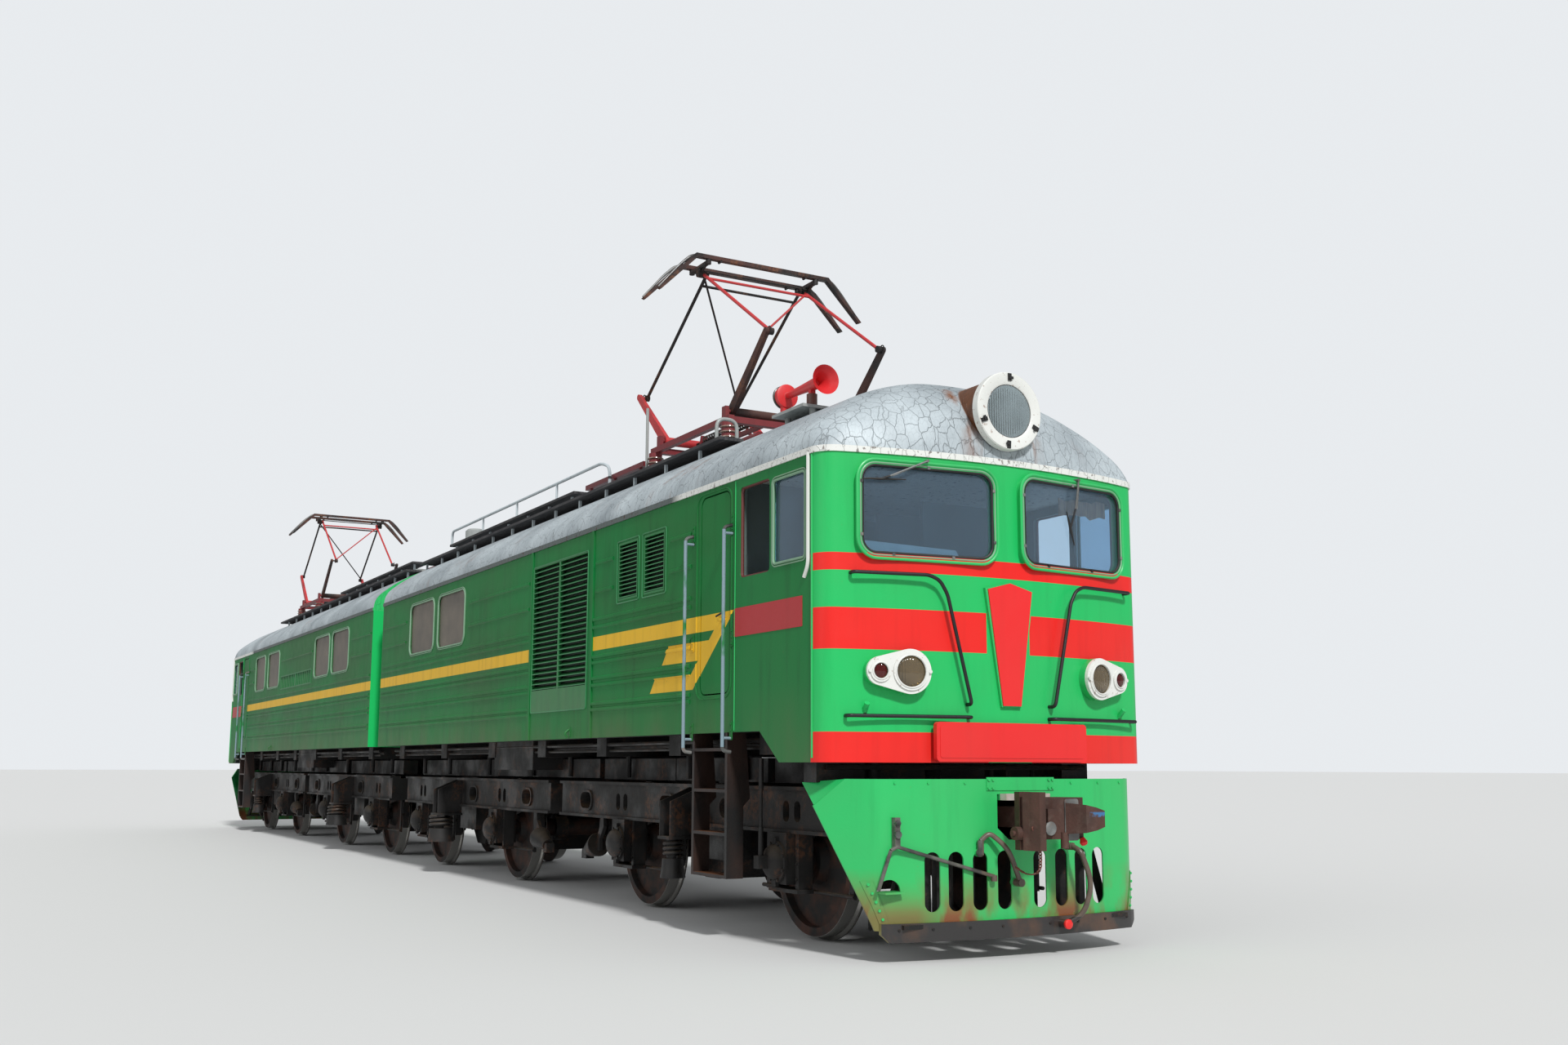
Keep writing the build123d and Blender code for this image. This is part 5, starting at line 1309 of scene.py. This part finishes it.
for side in (-1, 1):
    side_plates.prism(rounded(1.09, 0.23, 0.004, 1), wall_plane(side, 12.055, 2.523), 0.004)
side_plates.make("side_plates", plain_paint("side_plate_red", RED_SIDE_PLATE, rust=0.2, streaks=0.1))

# Headlamp: bowl, glass and clips
mirror = reflector("reflector", rgb(200, 204, 206), rgb(140, 146, 148), 5.0, 0.12, 1.0)
BOWL = ((0.0, 0.05), (0.004, 0.12), (0.014, 0.17), (0.030, 0.209))
FRONT_GLASS = ((0.0, 0.205), (0.008, 0.205), (0.016, 0.15), (0.020, 0.02))
bowl, lens, clips = Shape(), Shape(), Shape()
bowl.lathe((LAMP_X + 0.026, 0, LAMP_Z), (1, 0, 0), BOWL, 40)
lens.lathe((LAMP_X + 0.050, 0, LAMP_Z), (1, 0, 0), FRONT_GLASS, 40)
for degrees in (201, 266, 336, 90):
    turn = Matrix.Translation((LAMP_X + 0.070, 0, LAMP_Z)) @ Matrix.Rotation(math.radians(degrees), 4, "X")
    clips.box((-0.002, 0.010), (0.240, 0.300), (-0.016, 0.016), turn)
    clips.box((0.008, 0.016), (0.255, 0.275), (-0.030, 0.010), turn)
bowl.make("headlamp_reflector", mirror)
lens.make("headlamp_glass", lens_glass("lens_clear", rgb(206, 220, 222)))
clips.make("headlamp_clips", rubber)

# Marker and tail lamps: bowls, lenses, their seats and the latches of the housings
BEZEL_FACE = 0.092
golden = reflector("reflector_golden", rgb(150, 128, 84), rgb(92, 78, 58), 9.0, 0.2, 0.8, dents=20.0)
bowls, big_lenses, red_lenses, seats, latches = Shape(), Shape(), Shape(), Shape(), Shape()
for side in (-1, 1):
    face = nose_plane(side * 1.0, MARKER_Z)
    normal = face.to_3x3() @ Vector((0, 0, 1))
    for y, radius, lenses in ((-0.11, 0.116, big_lenses), (0.13, 0.058, red_lenses)):
        foot = face @ Vector((side * y, 0, BEZEL_FACE)) - normal * 0.048
        hollow = ((0, 0.01), (0.002, radius * 0.35), (0.012, radius * 0.7), (0.034, radius - 0.002))
        dome = ((0.030, radius - 0.003), (0.040, radius * 0.85), (0.048, radius * 0.5), (0.051, 0.005))
        bowls.lathe(foot, normal, hollow, 28)
        lenses.lathe(foot, normal, dome, 28)
        seats.bead(circle(radius + 0.004, 28, (side * y, 0)), face, BEZEL_FACE, 0.007)
    for along in (-0.262, 0.214):
        at = face @ Vector((side * along, 0.0, 0.074))
        latches.tube([at, at + normal * 0.022], 0.014)
bowls.make("marker_bowls", golden)
big_lenses.make("marker_lenses", lens_glass("lens_marker", rgb(190, 176, 150)))
red_lenses.make("tail_lenses", lens_glass("lens_red", rgb(150, 40, 40)))
seats.make("lens_seats", white_paint)
latches.make("lamp_latches", white_paint)

# Windscreens: the raised lip round the frame, clips, wipers and what lies behind the panes
CLIPS = [(u, v) for u in (-0.56, 0.56) for v in (0.2, -0.2)] + [(-0.3, -0.337), (0.2, -0.337), (0.0, 0.337)]
lips, clips, blades, wiper_arms = Shape(), Shape(), Shape(), Shape()
screen_ring(lips, 0.042, 0.012, 0.012)
for plane in SCREENS.values():
    for u, v in CLIPS:
        clips.box((u - 0.011, u + 0.011), (v - 0.011, v + 0.011), (0.008, 0.022), plane)


def wiper(side, spindle, elbow, blade, lift=0.03):
    """An arm from its spindle over the pane to a blade, in the pane's own coordinates"""
    plane, (u0, v0), (u1, v1) = SCREENS[side], spindle, elbow
    joint = plane @ Vector((u1, v1, lift))
    wiper_arms.tube([plane @ Vector((u0, v0, out)) for out in (-0.01, lift + 0.02)], 0.013)
    wiper_arms.tube([plane @ Vector((u0, v0, lift + 0.014)), joint], 0.007, 6)
    beside = [plane @ Vector((u0 + 0.01, v0, lift + 0.01)), plane @ Vector((u1 + 0.02, v1, lift))]
    wiper_arms.tube(beside, 0.004, 6)
    start, end = [plane @ Vector((u, v, lift - 0.022)) for u, v in blade]
    blades.tube([start, (start + end) / 2, end], (0.005, 0.011, 0.005), 6)
    blades.tube([(start + end) / 2, joint], 0.008, 6)


wiper(-1, (-0.022, 0.385), (-0.331, 0.25), ((-0.602, 0.217), (-0.191, 0.236)))
wiper(1, (0.042, 0.385), (0.012, 0.15), ((-0.07, 0.12), (0.011, -0.145)))
lips.make("screen_lips", sunlit_trim_green)
clips.make("screen_clips", pale_steel)
blades.make("wiper_blades", rubber)
wiper_arms.make("wiper_arms", pale_steel)

plywood = Finish("plywood_torn", roughness=0.8)
grain = plywood.noise(14.0, (1, 6, 0.6), detail=5.0)
plywood.colour(plywood.mix(plywood.rise(grain, 0.3, 0.7), rgb(196, 142, 104), rgb(120, 82, 62)))
plywood.bump(grain, 0.003)
desk_board, torn = Shape(), Shape()
BOARD_OUTLINE = ((-0.523, -0.225), (0.281, -0.262), (0.330, -0.345), (-0.440, -0.345))
desk_board.prism(BOARD_OUTLINE, deep(SCREENS[-1], -0.10), 0.006)
random.seed(5)
ragged = [(-0.062, 0.248), (-0.064, 0.101)]
for step in range(9):
    ragged.append((-0.02 + 0.055 * step, 0.105 + 0.002 * step + random.uniform(-0.018, 0.018)))
ragged += [(0.493, 0.130), (0.490, 0.262)]
for step in range(8):
    ragged.append((0.45 - 0.06 * step, 0.262 - 0.002 * step + random.uniform(-0.02, 0.012)))
torn.prism(ragged[::-1], deep(SCREENS[1], -0.09), 0.006)
desk_board.make("desk_board", plain_paint("desk_board_grey", rgb(186, 196, 192), rust=0.1))
torn.make("torn_board", plywood.material)

# Doors and corners of the cab: raised outline round the door, seams in the bright green as a painted
# highlight, handrail ends with their brackets
RAIL_XS, RAIL_R = (10.750, 11.470), 0.0148
beads, highlight_seams, rail_ends, brackets, levers = Shape(), Shape(), Shape(), Shape(), Shape()
for side in (-1, 1):
    beads.bead(rounded(0.64, 1.735, 0.115, 6), wall_plane(side, 11.135, 2.798), -0.002, 0.010)
    for x, low, radius in ((12.742, 1.44, 0.009), (11.52, 1.66, 0.005)):
        highlight_seams.tube([(x, side * (HALF_W + 0.001), z) for z in (low, EAVE_Z - 0.01)], radius, 6)
    for x in RAIL_XS:
        rail_y = side * 1.62
        for start, end, wall_y, foot_z in ((3.18, 3.31, HALF_W + 0.004, 3.33), (1.62, 1.50, 1.545, 1.49)):
            line = bent([(x, rail_y, start), (x, rail_y, end), (x, side * wall_y, foot_z)], 0.05)
            rail_ends.tube(line, RAIL_R, 10)
        for z in (3.35, 2.41, 1.66):
            foot = wall_plane(side, x, z)
            brackets.prism(rounded(0.044, 0.15, 0.012, 3), foot, 0.007)
            for v in (-0.052, 0.0, 0.052):
                brackets.bolt(foot @ Vector((0, v, 0.007)), (0, side, 0), 0.010, 0.007)
    lever = side * (HALF_W + 0.022)
    levers.tube([(11.335, side * HALF_W, 2.62), (11.335, lever, 2.62), (11.225, lever, 2.60)], 0.008, 6)
beads.make("door_beads", shaded_side_green)
highlight_seams.make("corner_highlight_seams", sunlit_trim_green)
rail_ends.make("rail_ends", pale_steel)
brackets.make("rail_brackets", shaded_side_green)
levers.make("door_levers", rubber)


# Pilot: rivets of its patch and strips, bolts of the board and the lever, cap of the hung hose
def on_pilot(y, z, out):
    return Vector((PILOT_BOW_X + math.sqrt((NOSE_R + out) ** 2 - y * y), y, z))


rivets, board_bolts, lever_bolts, cap = Shape(), Shape(), Shape(), Shape()
for side in (-1, 1):
    for z, y in [(z, y) for z in (1.225, 1.285) for y in (0.262, 0.300)]:
        rivets.bolt(on_pilot(side * y, z, 0.007), (1, 0, 0), 0.012, 0.010)
    for z in [0.250 + step * 0.060 for step in range(1, 6)]:
        edge = flank_edge(z * 1000) - 70
        rivets.bolt((pilot_x(edge, 7) / 1000, side * edge / 1000, z), (1, side * 0.3, 0), 0.011, 0.009)
    for y in (0.22, 0.50, 0.80, 1.06):
        rivets.bolt(on_pilot(side * y, 1.262, -0.002), (1, 0, 0), 0.010, 0.010)
        board_bolts.bolt(on_pilot(side * y, 0.235, 0.040), (1, 0, 0), 0.011, 0.008)
rivets.make("pilot_rivets", plain_paint("pilot_trim", GREEN_SUNLIT, rust=0.6), "bogie_1")
board_bolts.make("board_bolts", frame_black, "bogie_1")
for z, radius in ((0.90, 0.028), (0.98, 0.022)):
    lever_bolts.tube([(13.13, -1.072, z), (13.16, -1.072, z)], radius)
lever_bolts.make("lever_bolts", pale_steel, "bogie_1")
cap.lathe((13.300, 0.330, 0.228), (1, 0, 0), ((0, 0.036), (0.018, 0.036), (0.026, 0.020)), 16)
cap.make("hose_cap", red_plate, "bogie_1")

# Coupler: chain, knob and worn faces
LINK_STEP = 0.024
CHAIN = (
    (13.565, -0.190, 0.950), (13.560, -0.120, 0.800), (13.500, -0.080, 0.625),
    (13.400, -0.115, 0.600), (13.300, -0.160, 0.665),
)
chain, knob, face_plate = Shape(), Shape(), Shape()
hung_line = bent(CHAIN, 0.12, 9)
path = [hung_line[0]]
for point in hung_line[1:]:
    while (point - path[-1]).length > LINK_STEP:
        path.append(path[-1] + (point - path[-1]).normalized() * LINK_STEP)
for number, (here, there) in enumerate(zip(path, path[1:])):
    along = (there - here).normalized() * 0.017
    across = Vector((1, 0, 0) if number % 2 else (0, 1, 0)) * 0.011
    link = [(here + there) / 2 + along * c + across * s for c, s in circle(1, 10)]
    chain.tube(link, 0.0045, 5, closed=True)
chain.make("coupler_chain", plain_paint("chain_rust", rgb(112, 58, 46), rust=0.6), "coupler_a")
KNOB = ((0, 0.016), (0.02, 0.024), (0.035, 0.030), (0.055, 0.022), (0.06, 0.006))
knob.lathe((13.56, 0.265, 0.870), (0.2, 0.3, -1), KNOB, 14)
knob.make("coupler_knob", red_plate, "coupler_a")
face_plate.prism(rounded(0.13, 0.30, 0.02, 3), plane_at((13.556, 0.175, 1.0), (0, 1, 0), (1, 0, 0)), 0.004)
LOCK_BUTTON = ((0, 0.05), (0.012, 0.05), (0.02, 0.035), (0.024, 0.01))
face_plate.lathe((13.545, -0.018, 0.94), (1, 0, 0), LOCK_BUTTON, 20)
face_plate.make("coupler_faces", pale_steel, "coupler_a")

# Springs of the bogies, bolts of the axle box covers, guides and spring gussets
spring_steel = dark_metal("spring_steel", rgb(44, 38, 36), 0.4, 0.4)
# Bogie, its middle, coil's radius, wire's radius, turns
COILS = (("bogie_1", 10.0, 0.078, 0.015, 3.5), ("bogie_2", 2.95, 0.135, 0.020, 3))
for bogie_name, middle, coil_r, wire, turns in COILS:
    coils, bolts = Shape(), Shape()
    for side in (-1, 1):
        foot, top = (middle, side * 1.345, 0.585), (middle, side * 1.345, 0.735)
        coils.tube(helix(foot, top, (1, 0, 0), coil_r, turns, 20), wire)
    coils.make(f"springs_{bogie_name}", spring_steel, bogie_name)
    for axle_x, side in [(middle + end * 1.6, side) for end in (-1, 1) for side in (-1, 1)]:
        for x, z in circle(0.152, 8, (axle_x, 0.628), 0.5):
            bolts.bolt((x, side * 1.211, z), (0, side, 0), 0.014, 0.014)
        for x, z in [(x, z) for x in (axle_x - 0.189, axle_x + 0.189) for z in (0.50, 0.62, 0.74)]:
            bolts.bolt((x, side * 1.112, z), (0, side, 0), 0.012, 0.012)
    for side, x, z in [(side, x, z) for side in (-1, 1) for x in (-0.105, 0.105) for z in (0.80, 0.95, 1.10)]:
        bolts.bolt((middle + x, side * 1.146, z), (0, side, 0), 0.013, 0.012)
    bolts.make(f"bolts_{bogie_name}", bogie_black, bogie_name)


# Roof: skirts of the insulators under the pantograph and the bus bar
def skirts(neck, reach, height):
    """Profile of an insulator with four skirts"""
    profile = [(0.0, 0.05)]
    for base in (0.02, 0.07, 0.12, 0.17):
        profile += [(base, neck), (base + 0.012, reach), (base + 0.020, reach - 0.002), (base + 0.034, neck)]
    return [*profile, (height, 0.05)]


PANTO_X, HEAD_Z, SPRING_AXIS_Z = 8.95, 6.3896, 4.765
ceramic = Finish("insulator_brown", roughness=0.15)
ceramic.colour(ceramic.mix(ceramic.patches(0.35, 0.7, 12.0), rgb(92, 50, 36), rgb(150, 140, 128)))
ceramic.bump(ceramic.noise(30.0), 0.0008)
pots = Shape()
for end, side in [(end, side) for end in (-1, 1) for side in (-1, 1)]:
    pots.lathe((PANTO_X + end * 0.84, side * 0.72, 4.40), (0, 0, 1), skirts(0.055, 0.088, 0.235))
for x in INSULATOR_XS:
    pots.lathe((x / 1000, 0, 4.455), (0, 0, 1), skirts(0.065, 0.098, 0.24))
pots.make("insulators", ceramic.material)

# Pantograph's head: castings under the skids, pale horn ends, the tie and the skids' worn tops
CAST_Y, SKID_X = 0.632, 0.19
castings, horn_ends, tie, skid_tops = Shape(), Shape(), Shape(), Shape()
for side in (-1, 1):
    y = side * CAST_Y
    castings.tube([(PANTO_X, side * 0.575, HEAD_Z), (PANTO_X, side * 0.660, HEAD_Z)], 0.045, 12)
    castings.tube([(PANTO_X - 0.16, y, 6.445), (PANTO_X + 0.16, y, 6.445)], 0.022)
    for end in (-1, 1):
        x = PANTO_X + end * SKID_X
        castings.tube([(x, y, 6.43), (x, y, 6.478)], 0.030)
        castings.tube([(PANTO_X + end * 0.03, y, HEAD_Z), (PANTO_X + end * 0.15, y, 6.44)], 0.012, 6)
        castings.tube([(x - 0.03, side * 0.50, 6.474), (x + 0.03, side * 0.50, 6.474)], 0.014, 6)
        horn = ((0.70, 6.498), (0.82, 6.492), (0.95, 6.375), (1.183, 6.102))
        line = bent([(x, side * out, z) for out, z in horn], 0.12)
        horn_ends.tube(line, [0.021 - 0.010 * k / (len(line) - 1) for k in range(len(line))])
for end in (-1, 1):
    top = plane_at((PANTO_X + end * SKID_X, 0, 6.5162), (1, 0, 0), (0, 0, 1))
    skid_tops.prism(rounded(0.052, 1.46, 0.006, 2), top, 0.0035)
tie.tube([(PANTO_X, -0.60, HEAD_Z + 0.036), (PANTO_X, 0.60, HEAD_Z + 0.036)], 0.009)
castings.make("head_castings", dark_tube, "panto_head_a")
horn_ends.make("horn_ends", pale_steel, "panto_head_a")
tie.make("head_tie", dark_tube, "panto_head_a")
skid_tops.make("skid_tops", rusty_tube, "panto_head_a")

# Pantograph's knees: cable loops and bosses
KNEE_X, KNEE_Z = 1.4486, 5.3970
for end, frame_end, y in ((1, "front", 0.600), (-1, "rear", 0.555)):
    loops = Shape()
    for side in (-1, 1):
        knee = Vector((PANTO_X + end * KNEE_X, side * y, KNEE_Z))
        ring = [knee + Vector((end * 0.018 + 0.034 * c, side * 0.028, 0.040 * s)) for c, s in circle(1, 14)]
        loops.tube(ring, 0.006, 6, closed=True)
        half_boss = Vector((0, side * 0.022, 0))
        loops.tube([knee - half_boss, knee + half_boss], 0.034, 12)
    loops.make(f"knee_loops_{frame_end}", dark_tube, f"panto_upper_{frame_end}_a")

# Pantograph's base: springs with their rods and brackets, cylinder, hoops
base_springs, base_parts = Shape(), Shape()


def lengthwise(shape, back, front, y, z, radius, sides=8):
    """A bar along the locomotive, its ends given from the pantograph's middle"""
    shape.tube([(PANTO_X + back, y, z), (PANTO_X + front, y, z)], radius, sides)


for y in (-0.30, 0.30):
    ends = [(PANTO_X + x, y, SPRING_AXIS_Z) for x in (-0.50, 0.50)]
    base_springs.tube(helix(*ends, (0, 1, 0), 0.042, 20, 16), 0.008, 5)
    lengthwise(base_springs, -0.70, 0.70, y, SPRING_AXIS_Z, 0.012)
    for x in (-0.56, 0.56):
        foot = plane_at((PANTO_X + x, y, SPRING_AXIS_Z), (0, 1, 0), (1, 0, 0))
        base_parts.prism(((-0.05, -0.07), (0.05, -0.07), (0.03, 0.06), (-0.03, 0.06)), foot, 0.02)
    lengthwise(base_parts, -0.80, 0.80, y, 4.672, 0.028)
lengthwise(base_parts, -0.45, 0.15, 0.0, 4.700, 0.070, 14)
lengthwise(base_parts, 0.15, 0.55, 0.0, 4.700, 0.022)
for x in (PANTO_X - 0.35, PANTO_X + 0.35):
    hoop = bent([(x, -0.28, 4.66), (x, -0.22, 4.86), (x, 0.22, 4.86), (x, 0.28, 4.66)], 0.16, 8)
    base_parts.tube(hoop, 0.014)
base_springs.make("base_springs", dark_tube)
base_parts.make("base_parts", wine_paint)

# Louvre lips, and the rims round the grilles; back, front, bottom, top, number of slats
GRILLES = (
    (6.790, 7.538, 2.173, 3.498, 24), (7.582, 8.330, 2.173, 3.498, 24),
    (9.140, 9.550, 2.948, 3.458, 13), (9.730, 10.140, 2.948, 3.458, 13),
)
slat_lips = Shape()
for back, front, low, high, slats in GRILLES:
    pitch = (high - low) / slats
    for number in range(slats):
        z = low + (number + 0.5) * pitch - 0.36 * pitch + 0.004
        slat_lips.tube([(back + 0.004, -1.541, z), (front - 0.004, -1.541, z)], 0.0055, 6)
RIMS = ((6.77, 8.35, 1.938, 3.518), (9.09, 9.60, 2.905, 3.50), (9.68, 10.19, 2.905, 3.50))
for back, front, low, high in RIMS:
    plane = wall_plane(-1, (back + front) / 2, (low + high) / 2)
    slat_lips.bead(rounded(front - back, high - low, 0.02, 2), plane, 0.003, 0.007)
slat_lips.make("louvre_lips", plain_paint("lip_green", rgb(40, 122, 72), rust=0.4))

# Below the body: pipes along the sill, sand pipes before the first wheels, the hook bracket
pipes, sand_pipes, hook = Shape(), Shape(), Shape()
for side in (-1, 1):
    for y, z, radius in ((1.315, 1.585, 0.019), (1.30, 1.525, 0.014), (1.24, 1.560, 0.022)):
        pipes.tube([(0.45, side * y, z), (12.15, side * y, z)], radius)
    line = [(12.60, side * 1.02, 0.90), (12.62, side * 0.96, 0.52), (12.36, side * 0.80, 0.16)]
    sand_pipes.tube(bent(line, 0.16), 0.019)
    sand_pipes.tube([(12.60, side * 1.02, 0.84), (12.60, side * 1.02, 0.96)], 0.034, 10)
    line = [(7.92, side * 1.545, 1.74), (7.92, side * 1.590, 1.70), (7.92, side * 1.560, 1.66)]
    hook.tube(bent(line, 0.02), 0.010)
    hook.prism(rounded(0.07, 0.10, 0.01, 2), wall_plane(side, 7.92, 1.715), 0.006)
pipes.make("sill_pipes", frame_black)
sand_pipes.make("sand_pipes", bogie_black, "bogie_1")
hook.make("hook_bracket", shaded_side_green)

# Stays behind the slots of the pilot, from the bogie's front beam to the board
stays = Shape()
for side in (-1, 1):
    for inner, outer in ((0.26, 0.33), (0.46, 0.61), (0.66, 0.80)):
        stays.box((12.90, 12.96), (side * inner, side * outer), (0.26, 0.87))
    stays.tube([(12.93, side * 0.84, 0.87), (12.93, side * 1.02, 0.28)], 0.034)
    stays.box((12.90, 13.17), (side * 0.26, side * 1.04), (0.24, 0.27))
stays.make("pilot_stays", frame_black, "bogie_1")

# Dark gear under the cab floor that shows between the apron and the pilot, and ducts under the floor
# Right and left side, bottom
NOSE_BOXES = (
    (-1.42, -1.00, 1.262), (-0.86, -0.45, 1.262), (-0.30, 0.12, 1.262),
    (0.33, 0.57, 1.27), (0.90, 1.17, 1.262),
)
# Back, front, inner and outer side, bottom
DUCTS = (
    (0.55, 3.90, 0.70, 0.92, 1.242), (3.96, 7.40, 0.74, 0.98, 1.250), (7.46, 9.20, 0.66, 0.95, 1.242),
    (9.26, 11.05, 0.72, 0.97, 1.246), (11.10, 12.42, 0.60, 0.93, 1.242),
)
under_nose = Shape()
for right, left, low in NOSE_BOXES:
    under_nose.box((12.42, 12.60), (right, left), (low, 1.56))
for y in (-1.15, -0.62, 0.22, 0.63):
    under_nose.tube([(12.55, y, 1.27), (12.55, y, 1.56)], 0.022)
under_nose.tube([(12.62, -1.35, 1.375), (12.62, 1.12, 1.375)], 0.020)
for side in (-1, 1):
    for back, front, inner, outer, low in DUCTS:
        under_nose.box((back, front), (side * inner, side * outer), (low, 1.45))
    for x in (0.9, 2.1, 3.8, 5.4, 6.6, 8.2, 9.6, 10.7, 11.9):
        under_nose.tube([(x, side * 1.00, 1.262), (x, side * 1.00, 1.50)], 0.030)
under_nose.make("under_nose_gear", frame_black)

# Studio: pale floor, soft light, and the camera of the photograph
FLOOR_HALF = 400
floor_mesh = bpy.data.meshes.new("floor")
floor_corners = [(x * FLOOR_HALF, y * FLOOR_HALF, 0) for x, y in ((-1, -1), (1, -1), (1, 1), (-1, 1))]
floor_mesh.from_pydata(floor_corners, [], [(0, 1, 2, 3)])
floor = bpy.data.objects.new("floor", floor_mesh)
bpy.context.scene.collection.objects.link(floor)
floor_finish = Finish("floor_pale", roughness=0.9)
floor_finish.colour((0.62, 0.62, 0.61, 1.0))
floor_mesh.materials.append(floor_finish.material)

# The sky is brightest to the camera and through glass, and dimmest in what is mirrored
BACKDROP, SKY_LIGHT, SKY_MIRRORED = 0.86, 0.58, 0.34
world = bpy.data.worlds.new("studio")
bpy.context.scene.world = world
world.use_nodes = True
sky = world.node_tree
background = sky.nodes["Background"]
ray = sky.nodes.new("ShaderNodeLightPath").outputs
seen = sky.nodes.new("ShaderNodeMath")
seen.operation = "MAXIMUM"
sky.links.new(ray["Is Camera Ray"], seen.inputs[0])
sky.links.new(ray["Is Transmission Ray"], seen.inputs[1])
mirrored = sky.nodes.new("ShaderNodeMix")
sky.links.new(ray["Is Glossy Ray"], mirrored.inputs[0])
mirrored.inputs[2].default_value = SKY_LIGHT
mirrored.inputs[3].default_value = SKY_MIRRORED
strength = sky.nodes.new("ShaderNodeMix")
sky.links.new(seen.outputs[0], strength.inputs[0])
sky.links.new(mirrored.outputs[0], strength.inputs[2])
strength.inputs[3].default_value = BACKDROP
background.inputs["Color"].default_value = (0.94, 0.97, 1.0, 1.0)
sky.links.new(strength.outputs[0], background.inputs["Strength"])


def sun(name, towards, strength, spread):
    """A soft lamp far away that shines from that direction"""
    data = bpy.data.lights.new(name, "SUN")
    data.energy = strength
    data.angle = math.radians(spread)
    lamp = bpy.data.objects.new(name, data)
    bpy.context.scene.collection.objects.link(lamp)
    lamp.rotation_mode = "QUATERNION"
    lamp.rotation_quaternion = Vector(towards).to_track_quat("Z", "Y")


sun("key", (0.80, -0.14, 0.72), 2.9, 6)
sun("fill", (0.1, -1.0, 0.5), 0.30, 40)

CAMERA_AT = (21.933, -6.980, 1.379)
YAW, PITCH, ROLL = math.radians(150.493), math.radians(8.534), math.radians(0.163)
forward = Vector((math.cos(YAW) * math.cos(PITCH), math.sin(YAW) * math.cos(PITCH), math.sin(PITCH)))
level_right = forward.cross(Vector((0, 0, 1))).normalized()
right = level_right * math.cos(ROLL) + level_right.cross(forward) * math.sin(ROLL)
turn = Matrix((right, right.cross(forward), -forward)).transposed().to_4x4()
camera_data = bpy.data.cameras.new("camera")
camera_data.sensor_width = 36.0
camera_data.lens = 33.52
camera_data.shift_y = 0.0158
camera_data.clip_end = 2000
camera = bpy.data.objects.new("camera", camera_data)
bpy.context.scene.collection.objects.link(camera)
camera.matrix_world = Matrix.Translation(Vector(CAMERA_AT)) @ turn
bpy.context.scene.camera = camera
bpy.context.scene.view_settings.view_transform = "Standard"
